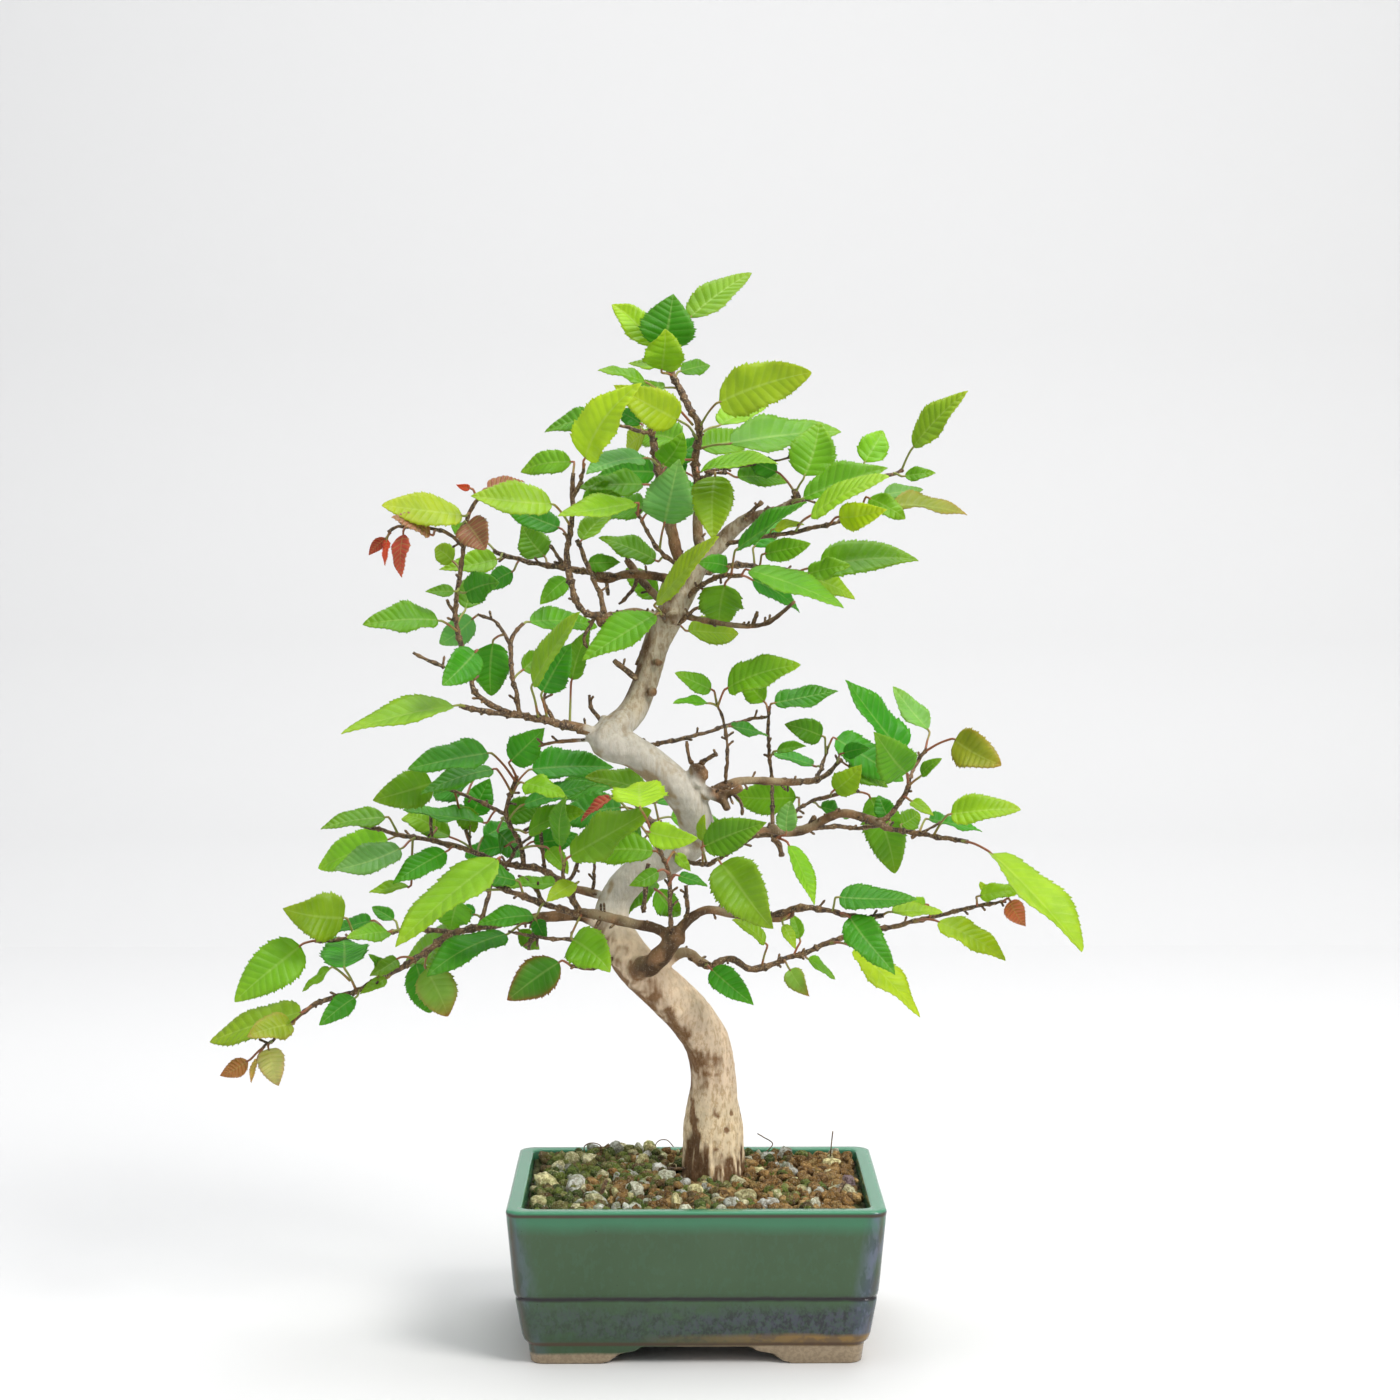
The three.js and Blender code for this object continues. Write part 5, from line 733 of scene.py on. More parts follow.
         ((-12, 203, 14), (-16, 186, 12), (-29, 171, 8), 9, "leaf")]),
    "back_high": (
        [(1.5, 0.9, [(-9, 326, 7.6), (-14, 338, 19), (-10, 350, 30), (-4, 360, 38)])],
        [((-11, 347, 28), (-16, 352, 34), (-40, 350, 44), 14, "deep"),
         ((-5, 358.5, 37), (-6, 364, 43), (-22, 366, 60), 13, "leaf"),
         ((-4.2, 359.5, 37.8), (2, 362, 43), (22, 366, 56), 14, "leaf"),
         ((-12.5, 342, 23), (-6, 344, 30), (14, 340, 42), 12, "deep"),
         ((-13.5, 336, 17), (-20, 338, 24), (-38, 334, 36), 11, "leaf")]),
}

BLADE_SLIMNESS = 0.52
STEEPEST_ROLL = 1.2
YOUNG_TONES = ("cream", "tan", "brown", "red", "salmon")
LEAF_SKIN = 0.0003
STALK_RADIUS = 0.0005
TWIG_SIDES, THIN_SIDES = 8, 6
BUD_SPACING, SPUR_SPACING = 0.0075, 0.011
WAVER_SHIFTS = (Vector((0, 0, 0)), Vector((11.3, 5.1, 7.7)), Vector((3.9, 17.2, 23.6)))
# The saw edge along one side vein: how far on, and how far out. Two small teeth come before the large one.
SAW = ((0.0, 0.9), (0.24, 0.96), (0.32, 0.91), (0.56, 0.985), (0.64, 0.93), (0.92, 1.03))


def blade_reach(along, fullness, bluntness):
    """Half-width of the blade along its length, as a share of the widest."""
    return math.sin(math.pi * min(max(along, 0.0), 1.0) ** fullness) ** bluntness


def blade_sheet(base, forward, normal, length, width, veins, quilt, openness, draw):
    """Rows of points over the blade, each with its outward direction, vein number and share across."""
    calm = 0.35 + 0.65 * openness
    fold = draw.uniform(0.12, 0.46)
    arch = draw.uniform(0.0, 0.08) * calm
    twist = draw.uniform(-0.55, 0.55) * openness
    wave = draw.uniform(0.08, 0.3) * calm
    waves = draw.uniform(7, 13)
    phase = draw.uniform(0, 6.28)
    hook = draw.uniform(-0.1, 0.06) * length * calm
    sway = draw.uniform(-0.05, 0.05) * length * calm
    fullness = draw.uniform(0.58, 0.76)
    bluntness = draw.uniform(0.64, 0.98)
    across = -forward.cross(normal)
    stations = [((vein + on) / veins, out) for vein in range(veins) for on, out in SAW]
    sheet = []
    for s, out in stations + [(1.0, 1.0)]:
        skew = 0.2 * math.sin(math.pi * s) * (1 - s * 0.6)
        reach = blade_reach(s + skew, fullness, bluntness) * width / 2
        line = []
        for column in range(-4, 5):
            t = column / 4
            along = min(s + skew * abs(t) ** 0.9, 1.0)
            aside = t * reach * (1 + (out - 1) * abs(t) ** 5)
            turn = twist * (along - 0.3)
            outward = normal * math.cos(turn) - across * math.sin(turn)
            lift = fold * abs(aside) * (1 - 0.3 * abs(t)) + 4 * arch * length * along * (1 - along)
            ripple = math.sin(phase + along * waves + (2 if t > 0 else 0))
            lift += hook * along ** 3 + wave * reach * t * t * ripple
            lift += quilt * math.cos(2 * math.pi * (s * veins + 0.6)) * min(1, 4 * abs(t))
            spot = base + forward * (along * length) + outward * lift
            spot += (across * math.cos(turn) + normal * math.sin(turn)) * aside
            spot += across * (sway * 4 * along * (1 - along))
            line.append((spot, outward, s * veins + 0.1, along, t))
        sheet.append(line)
    return sheet


def grow_leaf(bm, layers, row, draw):
    """One leaf with its stalk. The rows of the blade follow the side veins out to the teeth."""
    root, base, tip = (on_tree(*place) for place in row[:3])
    seen, tone = row[3] / 1000, row[4]
    length = (tip - base).length
    forward = (tip - base).normalized()
    width = max(seen, BLADE_SLIMNESS * length)
    roll = min(STEEPEST_ROLL, math.acos(seen / width)) * draw.uniform(0.92, 1.04)
    eye = on_tree(FRONT_EYE.x, FRONT_EYE.z, FRONT_EYE.y / CROWN_DEPTH)
    facing = eye - base
    facing = (facing - forward * facing.dot(forward)).normalized()
    turned = facing.cross(forward)
    lean = -roll if turned.z < 0 else roll
    normal = facing * math.cos(lean) + turned * math.sin(lean)
    color, tip_color = LEAF_TONES[tone]
    shade = draw.uniform(0.88, 1.2)
    warmth = draw.uniform(-0.12, 0.22)
    young = tone in YOUNG_TONES
    vein_share = 0.6 if young else 0.14
    veins = 9 if young else max(6, min(11, round(length * 380)))
    quilt = 0.0002 if young else 0.00014 * min(1, width / 0.012)
    sheet = blade_sheet(base, forward, normal, length, width, veins, quilt, seen / width, draw)
    tip_share = {"dry": 0.7, "edged": 0.3}.get(tone, 0.5)
    edge_share = {"dry": 0.4, "olive": 0.6, "edged": 1.0, "cream": 0.8}.get(tone, 0.25)
    grids = []
    faces = []
    for side in (1, -1):
        grid = []
        for line in sheet:
            row_verts = []
            for spot, outward, vein, along, t in line:
                vert = bm.verts.new(spot + outward * (side * LEAF_SKIN / 2))
                near_tip = max(0.0, (along - 0.5) / 0.5) ** 1.5 * tip_share
                near_edge = max(abs(t) ** 6, max(0.0, along - 0.9) * 10) * edge_share
                mixed = mix_tones(color, tip_color, near_tip + near_edge)
                mixed = (mixed[0] * (1 + warmth), mixed[1], mixed[2] * (1 - warmth))
                if side < 0:
                    mixed = mix_tones(mixed, LEAF_UNDERSIDE, 0.35)
                vert[layers[0]] = (mixed[0] * shade, mixed[1] * shade, mixed[2] * shade, vein_share)
                vert[layers[1]] = (vein, t, along)
                row_verts.append(vert)
            grid.append(row_verts)
        grids.append(grid)
        for low, high in zip(grid, grid[1:]):
            for column in range(8):
                corners = (low[column], low[column + 1], high[column + 1], high[column])
                faces.append(bm.faces.new(corners if side < 0 else tuple(reversed(corners))))
    rims = []
    for grid in grids:
        rim = [line[0] for line in grid] + grid[-1][1:]
        rims.append(rim + [line[-1] for line in reversed(grid[:-1])] + list(reversed(grid[0][1:-1])))
    for index in range(len(rims[0])):
        following = (index + 1) % len(rims[0])
        corners = (rims[0][index], rims[1][index], rims[1][following], rims[0][following])
        faces.append(bm.faces.new(corners))
    for face in faces:
        face.smooth = True
    neck = base - forward * 0.0012
    bow = root.lerp(neck, 0.5) + Vector((0, 0, 0.05)) * (neck - root).length
    stalk_radii = [STALK_RADIUS * 1.2, STALK_RADIUS, STALK_RADIUS, STALK_RADIUS * 0.8]
    stalk = smooth_line([root, bow, neck, base + forward * 0.001], stalk_radii, 0.0015)
    grow_limb(bm, stalk, THIN_SIDES, slot=2)


def waver(spot):
    """A push in each direction that depends on the place alone, so a twig grows the same each time."""
    return Vector([noise.noise(spot + shift) for shift in WAVER_SHIFTS])


def grow_twig(bm, places, first, last, draw, slot=1):
    """A knotty twig, thicker at its buds, with short spurs."""
    plain = tapered_line(places, first, last, 0.0011)
    line = []
    travel = draw.uniform(0, 0.006)
    previous = plain[0][0]
    for spot, radius in plain:
        travel += (spot - previous).length
        previous = spot
        bud = max(0.0, math.cos(travel * 2 * math.pi / BUD_SPACING)) ** 10
        bend = waver(spot * 170) * 0.0006 + waver(spot * 420) * 0.0003
        thick = radius * (0.96 + 0.42 * bud + 0.3 * noise.noise(spot * 300) + 0.2 * noise.noise(spot * 800))
        line.append((spot + bend, thick))
    line[0] = plain[0]
    grow_limb(bm, line, TWIG_SIDES, slot=slot)
    add_spurs(bm, line, int(travel / SPUR_SPACING), draw, slot)


def add_spurs(bm, line, count, draw, slot):
    """Short side buds and spurs, leaning along the shoot they stand on."""
    for _ in range(count):
        at = draw.randrange(1, len(line) - 1)
        spot, radius = line[at]
        ahead = (line[at + 1][0] - line[at - 1][0]).normalized()
        aside = Vector((draw.uniform(-1, 1), draw.uniform(-1, 1), draw.uniform(-0.7, 1)))
        aside = (aside - ahead * aside.dot(ahead)).normalized()
        reach = draw.uniform(0.0012, 0.004)
        tip = spot + (aside + ahead * draw.uniform(0.2, 0.9)).normalized() * (radius + reach)
        neck, bud = spot.lerp(tip, 0.5), spot.lerp(tip, 0.85)
        grow_limb(bm, [(spot, 0.0006), (neck, 0.00048), (bud, 0.0006), (tip, 0.00025)], THIN_SIDES, slot=slot)


def grow_spray(name, twigs, leaves):
    draw = random.Random(name)
    bm = bmesh.new()
    layers = (bm.verts.layers.float_color.new("leaf_tone"), bm.verts.layers.float_vector.new("leaf_place"))
    for first, last, places in twigs:
        grow_twig(bm, places, first, last, draw)
    for row in leaves:
        grow_leaf(bm, layers, row, draw)
    piece = new_piece(f"leaves_{name}", bm)
    for material in (leaf_skin, twig_bark, leaf_stalk):
        piece.data.materials.append(material)
    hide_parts(f"spray_{name}")
    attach(piece, "root")


# Leaf veins: a mask of the midrib and one of the side veins, from the vein number and the share across.
veining, vein_in, vein_out = new_group("leaf_veins", (), ("Side Veins", "Midrib"))
veining.interface.new_socket(name="Place", in_out="INPUT", socket_type="NodeSocketVector")
split = veining.nodes.new("ShaderNodeSeparateXYZ")
veining.links.new(vein_in.outputs["Place"], split.inputs[0])
sides = number_of(veining, "ABSOLUTE", split.outputs["Y"], 0)
band = number_of(veining, "PINGPONG", split.outputs["X"], 0.5)
for source, near, far, name in ((band, 0.0, 0.16, "Side Veins"), (sides, 0.015, 0.085, "Midrib")):
    line = veining.nodes.new("ShaderNodeMapRange")
    for socket, value in (("From Min", near), ("From Max", far), ("To Min", 1.0), ("To Max", 0.0)):
        line.inputs[socket].default_value = value
    veining.links.new(source, line.inputs["Value"])
    veining.links.new(line.outputs["Result"], vein_out.inputs[name])

leaf_skin, tree, surface = material_of("leaf_skin")
tone = node_of(tree, "ShaderNodeAttribute", attribute_name="leaf_tone")
spot = node_of(tree, "ShaderNodeAttribute", attribute_name="leaf_place")
lines = place_group(tree, veining)
tree.links.new(spot.outputs["Vector"], lines.inputs["Place"])
paler = blend_colors(tree, 0.45, tone.outputs["Color"], (0.68, 0.8, 0.3))
faint = both(tree, lines.outputs["Side Veins"], tone.outputs["Alpha"])
strong = both(tree, lines.outputs["Midrib"], 0.55)
color = blend_colors(tree, faint, tone.outputs["Color"], paler)
color = blend_colors(tree, strong, color, paler)
darker = blend_colors(tree, 1.0, color, (0.7, 0.8, 0.7), "MULTIPLY")
mottle = both(tree, speckle_mask(tree, 120, 0.5, 1.0, 0.2), 0.6)
color = blend_colors(tree, mottle, color, darker)
finish(tree, surface, color, 0.34, 0.4)
cells = speckle_mask(tree, 1500, 0.5, 1.0, 0.25)
quilting = number_of(tree, "MULTIPLY_ADD", lines.outputs["Side Veins"], -1.4, cells)
raise_relief(tree, surface, quilting, 0.3, 0.0003)
glow = tree.nodes.new("ShaderNodeBsdfTranslucent")
lit = blend_colors(tree, 1.0, color, (1.5, 1.3, 0.5), "MULTIPLY")
tree.links.new(lit, glow.inputs["Color"])
through = tree.nodes.new("ShaderNodeMixShader")
through.inputs["Fac"].default_value = 0.42
tree.links.new(surface.outputs["BSDF"], through.inputs[1])
tree.links.new(glow.outputs["BSDF"], through.inputs[2])
tree.links.new(through.outputs["Shader"], tree.nodes["Material Output"].inputs["Surface"])

twig_bark, tree, surface = material_of("twig_bark")
color = blend_colors(tree, speckle_mask(tree, 420, 0.5, 0.8), (0.165, 0.086, 0.033), (0.05, 0.025, 0.011))
color = blend_colors(tree, speckle_mask(tree, 1500, 0.6), color, (0.38, 0.28, 0.15))
finish(tree, surface, color, 0.6)
raise_relief(tree, surface, speckle_mask(tree, 900, 0.5), 0.4, 0.0003)

leaf_stalk, tree, surface = material_of("leaf_stalk")
color = blend_colors(tree, speckle_mask(tree, 60, 0.5), (0.24, 0.26, 0.05), (0.3, 0.1, 0.045))
finish(tree, surface, color, 0.5)

for name, (twigs, leaves) in SPRAYS.items():
    grow_spray(name, twigs, leaves)

# Bare shoots
# Last year's shoots that have no leaves: thin dead twigs, pruned stubs and bud spurs on the stout branches.
# They grew from the wood and are dark and knotty like the other twigs.

# Each row: first and last radius in millimetres, and the places.
BARE_SHOOTS = [
    (1.0, 0.6, [(-107.5, 213, 22), (-107.5, 204, 22)]), (0.9, 0.6, [(-93.5, 207, 21), (-91, 199, 20.7)]),
    (0.9, 0.7, [(-64.5, 210, 15), (-62.5, 201, 17), (-61.5, 190, 17.5)]),
    (0.9, 0.7, [(-60, 212, 15), (-70.5, 206, 17)]), (0.9, 0.6, [(-102, 273, -12), (-114.5, 279.3, -12)]),
    (1.5, 1.1, [(-21, 267, 1), (-33.2, 276, 0)]), (0.9, 0.6, [(-53, 314, 7), (-59, 323, 7)]),
    (1.0, 0.7, [(-36, 309.5, 9), (-35.5, 302, 9)]), (0.8, 0.6, [(-96.5, 294, -12), (-101, 301, -12)]),
    (1.0, 0.6, [(23, 289.5, -7), (25, 296, -7)]), (1.0, 0.7, [(-7, 291, 2), (1, 297.5, -1)]),
    (1.0, 0.8, [(20, 333, 1), (27, 340.5, 0)]),
    (0.7, 0.5, [(4, 352, 3), (15, 354, 5), (26, 355.5, 6), (38, 357.5, 8)]),
    (1.1, 0.6, [(-26, 240, -6), (-16.4, 241.8, 4), (0, 245.2, 12), (11.5, 248.8, 16), (22.4, 252.2, 18),
                (30, 253, 13)]),
    (1.0, 0.8, [(-21, 173, -13), (-20.4, 183, -13), (-19.3, 193, -13)]),
    (1.1, 0.9, [(-4, 169, -12.5), (-3.4, 176, -12), (-4.3, 184, -12)]),
    (0.8, 0.6, [(-42.5, 180, 12), (-41.5, 186, 12), (-41, 193, 11)]),
    (1.2, 0.8, [(0, 232, -6), (5, 236, -8), (9, 238, -9)]),
    (0.9, 0.5, [(-1, 233, -7), (-3, 238, -8), (-3.5, 243, -8)]),
    (1.1, 0.8, [(-38, 251, -4), (-42, 256, -3), (-43, 262, -2)]),
    (0.9, 0.6, [(-57, 251, -9), (-61, 258, -9), (-60, 265, -8)]),
    (1.3, 1.0, [(30, 206.3, 10), (34, 200.5, 9), (35, 196, 8)]),
    (1.0, 0.8, [(44, 206.8, 10), (49, 212, 9)]), (0.8, 0.5, [(88, 203.5, 3), (95, 207, 0), (99, 209, -3)]),
    (1.2, 0.9, [(-45, 171.8, 2), (-50, 178, 0), (-49, 183, -2)]),
    (1.2, 0.8, [(-62, 171, -1), (-66, 164, 1), (-68, 158, 4)]),
    (1.0, 0.7, [(-38, 172, -13), (-41, 166, -15)]),
    (0.9, 0.5, [(-46, 161, -9), (-58, 162, -10), (-68, 163.5, -11), (-76.5, 165.5, -12)]),
    (0.8, 0.5, [(-64, 163, -10.5), (-70, 159, -12)]),
    (1.0, 0.7, [(-84, 193.5, 20), (-78, 186, 15), (-69, 186, 10)]),
    (1.0, 0.6, [(-88, 167, -7), (-85, 178, -5), (-82, 189, 0)]),
    (0.9, 0.6, [(-78, 190, 18), (-73, 199, 22), (-66, 205, 26)]),
    (1.0, 0.7, [(-54, 184, 14), (-49, 190, 12), (-47, 198, 10)]),
    (1.0, 0.7, [(-62, 177, -15), (-66, 184, -12), (-72, 188, -8)]),
    (1.0, 0.7, [(-15, 285, 5), (-21, 280, 4), (-24, 274, 3)]),
    (0.9, 0.6, [(-22, 312, 9), (-26, 304, 10), (-31, 299, 10)]),
    (0.9, 0.6, [(-40, 294, -5), (-45, 286, -4), (-43, 280, -4)]),
    (1.0, 0.6, [(12, 224.8, -1), (18, 219, -3), (19, 213, -3)]),
]
draw = random.Random("bare shoots")
bm = bmesh.new()
for first, last, places in BARE_SHOOTS:
    grow_twig(bm, places, first, last, draw, slot=0)
for _, last, places in STOUT_BRANCHES:
    line = tapered_line(places, last, last, 0.002)
    add_spurs(bm, line, len(line) // 4, draw, 0)
shoots = new_piece("bare_shoots", bm)
shoots.data.materials.append(twig_bark)
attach(shoots, "root")

# Pot
# A press-moulded stoneware pot, fired once with a green glaze that runs thin and brown on the edges and pools
# blue-grey low on the wall. It stands on a foot ring that is cut away between the four bracket feet.

POT_WIDTH = 0.150
POT_DEPTH = 0.1158
FOOT_WALL = 0.009
FOOT_WIDTH = 0.1316
FOOT_TOP = 0.0074
DRAIN_RADIUS, DRAIN_FROM_MIDDLE = 0.007, 0.032
# Height and outside width of the wall, from its lower edge up over the rim.
pot_wall = [
    (0.0079, 0.1337), (0.0095, 0.1365), (0.012, 0.1382), (0.016, 0.1396), (0.021, 0.1412), (0.0258, 0.1428),
    (0.0268, 0.1428), (0.0272, 0.1419), (0.0277, 0.1419), (0.0282, 0.1432), (0.03, 0.1441), (0.036, 0.1453),
    (0.044, 0.1466), (0.052, 0.1480), (0.0585, 0.1491), (0.0608, 0.14935), (0.0619, 0.1498),
    (0.0627, 0.1494), (0.0631, 0.1482), (0.0632, 0.1468),
]
# The same for its inside, from the rim down to the floor.
pot_inside = [
    (0.0632, 0.1392), (0.0630, 0.1380), (0.0624, 0.1373), (0.060, 0.1368), (0.052, 0.1354), (0.040, 0.1325),
    (0.024, 0.128), (0.0155, 0.124), (0.0133, 0.119), (0.0130, 0.110),
]


def pot_outline(width, radius):
    """Points round a rectangle with rounded corners, close together along its sides."""
    depth = width - (POT_WIDTH - POT_DEPTH)
    outline = []
    for sign_x, sign_y, quarter in ((1, 1, 0), (-1, 1, 1), (-1, -1, 2), (1, -1, 3)):
        for step in range(9):
            angle = (quarter + step / 8) * math.pi / 2
            outline.append((sign_x * (width / 2 - radius) + radius * math.cos(angle),
                            sign_y * (depth / 2 - radius) + radius * math.sin(angle)))
        length, count = (width - 2 * radius, 76) if quarter in (0, 2) else (depth - 2 * radius, 58)
        ahead_x, ahead_y = ((-1, 0), (0, -1), (1, 0), (0, 1))[quarter]
        start = outline[-1]
        for step in range(1, count):
            t = step / count
            outline.append((start[0] + ahead_x * length * t, start[1] + ahead_y * length * t))
    return outline


# The cut-out's edge, inward from its end: from and to, and the height at each.
ARCH_STEPS = (
    (0, 0.0035, 0, 0.0009), (0.0035, 0.0075, 0.0009, 0.0039), (0.0075, 0.0125, 0.0039, 0.0047),
    (0.0125, 0.0185, 0.0047, 0.007))


def foot_arch(x, y, width, depth):
    """Height of the cut-out between two bracket feet at this place on the foot ring."""
    across, half = (abs(x), 0.0385) if abs(y) > depth / 2 - 0.0095 else (abs(y), 0.025)
    if abs(x) > width / 2 - 0.0095 and abs(y) > depth / 2 - 0.0095:
        return 0.0
    inward = half - across
    for low, high, bottom, top in ARCH_STEPS:
        if low <= inward < high:
            t = (inward - low) / (high - low)
            return bottom + (top - bottom) * t * t * (3 - 2 * t)
    return 0.007 if inward >= 0.0185 else 0.0


bm = bmesh.new()
rings = []
foot_depth = FOOT_WIDTH - (POT_WIDTH - POT_DEPTH)
foot_inside = FOOT_WIDTH - 2 * FOOT_WALL
# The foot ring from its inside out: height, width, corner radius, and whether it follows the cut-outs.
for height, width, radius, follows_arch in (
        (0.0078, foot_inside, 0.003, False), (0.0, foot_inside, 0.003, True), (0.0, 0.1304, 0.0055, True),
        (0.0005, FOOT_WIDTH, 0.006, True), (0.0072, 0.1333, 0.006, False)):
    ring = []
    for x, y in pot_outline(width, radius):
        scale = FOOT_WIDTH / width
        arch = foot_arch(x * scale, y * scale, FOOT_WIDTH, foot_depth) if follows_arch else 0.0
        ring.append(bm.verts.new((x + POT_X, y + POT_Y, min(height + arch, FOOT_TOP))))
    rings.append(ring)
for height, width in pot_wall:
    ring = []
    for x, y in pot_outline(width, 0.006):
        warp = 1 + 0.0012 * noise.noise(Vector((x * 30, y * 30, height * 30)))
        ring.append(bm.verts.new((x * warp + POT_X, y * warp + POT_Y, height)))
    rings.append(ring)
for height, width in pot_inside:
    rings.append([bm.verts.new((x + POT_X, y + POT_Y, height)) for x, y in pot_outline(width, 0.0045)])
join_rings(bm, rings)
bm.faces.new(rings[-1])
bm.faces.new(list(reversed(rings[0])))
for face in bm.faces:
    face.smooth = True
pot = new_piece("glazed_pot", bm)
for side in (-1, 1):
    bm = bmesh.new()
    bmesh.ops.create_cone(
        bm, cap_ends=True, segments=40, radius1=DRAIN_RADIUS, radius2=DRAIN_RADIUS, depth=0.03)
    bmesh.ops.translate(bm, verts=bm.verts, vec=(POT_X + side * DRAIN_FROM_MIDDLE, POT_Y, 0.01))
    drain = new_piece("drain_cutter", bm)
    cut = pot.modifiers.new("drain", "BOOLEAN")
    cut.object = drain
    cut.solver = "EXACT"
    settle(pot)
    bpy.data.objects.remove(drain)

# Height band: a mask that runs from 0 at one height to 1 at another, with a wavy border.
banding, band_in, band_out = new_group(
    "height_band", (("Low", 0.0), ("High", 0.01), ("Waviness", 0.0), ("Waves", 40.0)), ("Mask",))
where = banding.nodes.new("ShaderNodeTexCoord")
split = banding.nodes.new("ShaderNodeSeparateXYZ")
banding.links.new(where.outputs["Object"], split.inputs[0])
ripple = node_of(banding, "ShaderNodeTexNoise", Detail=2.0)
banding.links.new(where.outputs["Object"], ripple.inputs["Vector"])
banding.links.new(band_in.outputs["Waves"], ripple.inputs["Scale"])
centred = number_of(banding, "SUBTRACT", ripple.outputs["Fac"], 0.5)
shift = number_of(banding, "MULTIPLY", centred, band_in.outputs["Waviness"])
level = number_of(banding, "ADD", split.outputs["Z"], shift)
reach = banding.nodes.new("ShaderNodeMapRange")
banding.links.new(level, reach.inputs["Value"])
banding.links.new(band_in.outputs["Low"], reach.inputs["From Min"])
banding.links.new(band_in.outputs["High"], reach.inputs["From Max"])
banding.links.new(reach.outputs["Result"], band_out.inputs["Mask"])


def height_band(tree, low, high, waviness=0.0, waves=40.0):
    return place_group(tree, banding, Low=low, High=high, Waviness=waviness, Waves=waves).outputs["Mask"]


# The corners, where the glaze pools blue, are painted by how near the wall's edge is.
corner_layer = pot.data.color_attributes.new("corner", "FLOAT_COLOR", "POINT")
corners = []
for vert in pot.data.vertices:
    half_width = (0.1336 + (vert.co.z - 0.008) * 0.3) / 2
    near_x = abs(vert.co.x - POT_X) - half_width + 0.009
    near_y = abs(vert.co.y - POT_Y) - (half_width - (POT_WIDTH - POT_DEPTH) / 2) + 0.009
    turned = math.degrees(math.atan2(near_y - 0.003, near_x - 0.003)) if min(near_x, near_y) > 0.003 else 0
    arris = max(0.0, 1 - abs(turned - 45) / 20)
    corner = clamp(min(near_x, near_y) / 0.006)
    right = 1.0 if vert.co.x > POT_X else 0.55
    outer = float(abs(vert.co.x - POT_X) > 0.0702 or abs(vert.co.y - POT_Y) > 0.0531)
    corners.extend((corner * right, 0.5 + (vert.co.x - POT_X) / POT_WIDTH, outer, arris))
corner_layer.data.foreach_set("color", corners)

glaze, tree, surface = material_of("glaze")
painted = node_of(tree, "ShaderNodeAttribute", attribute_name="corner")
shares = tree.nodes.new("ShaderNodeSeparateColor")
tree.links.new(painted.outputs["Color"], shares.inputs["Color"])
cornering, rightness = shares.outputs["Red"], shares.outputs["Green"]
clouds = speckle_mask(tree, 26, 0.5, 0.6, 0.25)
color = blend_colors(tree, clouds, (0.039, 0.08, 0.034), (0.048, 0.094, 0.044))
color = blend_colors(tree, both(tree, speckle_mask(tree, 420, 0.58, 0.6), 0.2), color, (0.055, 0.13, 0.075))
# Lighter and bluer below the rim, greyer in the middle, mottled blue-grey below the groove.
upper = both(tree, height_band(tree, 0.0535, 0.0585, 0.004), 0.75)
color = blend_colors(tree, upper, color, (0.04, 0.185, 0.095))
blue = blend_colors(tree, speckle_mask(tree, 330, 0.5, 0.7), (0.027, 0.03, 0.034), (0.056, 0.062, 0.082))
blue = blend_colors(tree, both(tree, speckle_mask(tree, 900, 0.52, 0.7), 0.5), blue, (0.05, 0.095, 0.06))
pooled = both(tree, height_band(tree, 0.0265, 0.021, 0.006, 60), height_band(tree, 0.0085, 0.0125, 0.004, 50))
pooled = both(tree, pooled, speckle_mask(tree, 60, 0.37, 2.0, 0.12))
pooled = both(tree, pooled, number_of(tree, "MULTIPLY_ADD", rightness, 0.9, 0.35))
color = blend_colors(tree, pooled, color, blue)
corner_blue = blend_colors(tree, speckle_mask(tree, 260, 0.5, 0.4), (0.06, 0.08, 0.11), (0.12, 0.14, 0.21))
corner_share = both(tree, cornering, speckle_mask(tree, 130, 0.42, 0.35, 0.2))
color = blend_colors(tree, both(tree, corner_share, 0.85), color, corner_blue)
arris_share = both(tree, painted.outputs["Alpha"], speckle_mask(tree, 90, 0.42, 0.4, 0.15))
color = blend_colors(tree, both(tree, arris_share, 0.7), color, (0.085, 0.06, 0.03))
# Thin glaze shows the brown clay at the rim's edge, in the groove and along the bottom edge of the wall.
above_groove = height_band(tree, 0.0289, 0.0279, 0.0012, 90)
groove = both(tree, height_band(tree, 0.0262, 0.0271, 0.0012, 90), above_groove)
color = blend_colors(tree, both(tree, groove, 0.9), color, (0.024, 0.016, 0.022))
rim_edge = both(tree, height_band(tree, 0.0604, 0.0612, 0.0004), height_band(tree, 0.0624, 0.0618))
rim_edge = both(tree, rim_edge, shares.outputs["Blue"])
color = blend_colors(tree, both(tree, rim_edge, 0.95), color, (0.05, 0.03, 0.017))
# The top of the rim is painted a paler mint: the glaze's colour there, with painted light from above.
color = blend_colors(tree, height_band(tree, 0.0622, 0.0629), color, (0.06, 0.25, 0.14))
ochre = blend_colors(tree, speckle_mask(tree, 160, 0.5, 1.4), (0.25, 0.15, 0.045), (0.16, 0.1, 0.045))
bare_from = height_band(tree, 0.0135, 0.0115, 0.004, 30)
low_right = both(tree, bare_from, height_band(tree, 0.0, 0.0001))
low_right = both(tree, low_right, number_of(tree, "MULTIPLY_ADD", rightness, 2.2, -0.75))
low_right = number_of(tree, "MINIMUM", number_of(tree, "MAXIMUM", low_right, 0.0), 1.0)
color = blend_colors(tree, low_right, color, ochre)
edge_line = both(tree, height_band(tree, 0.0072, 0.0079), height_band(tree, 0.0098, 0.0088, 0.0008))
color = blend_colors(tree, both(tree, edge_line, 0.85), color, (0.075, 0.04, 0.02))
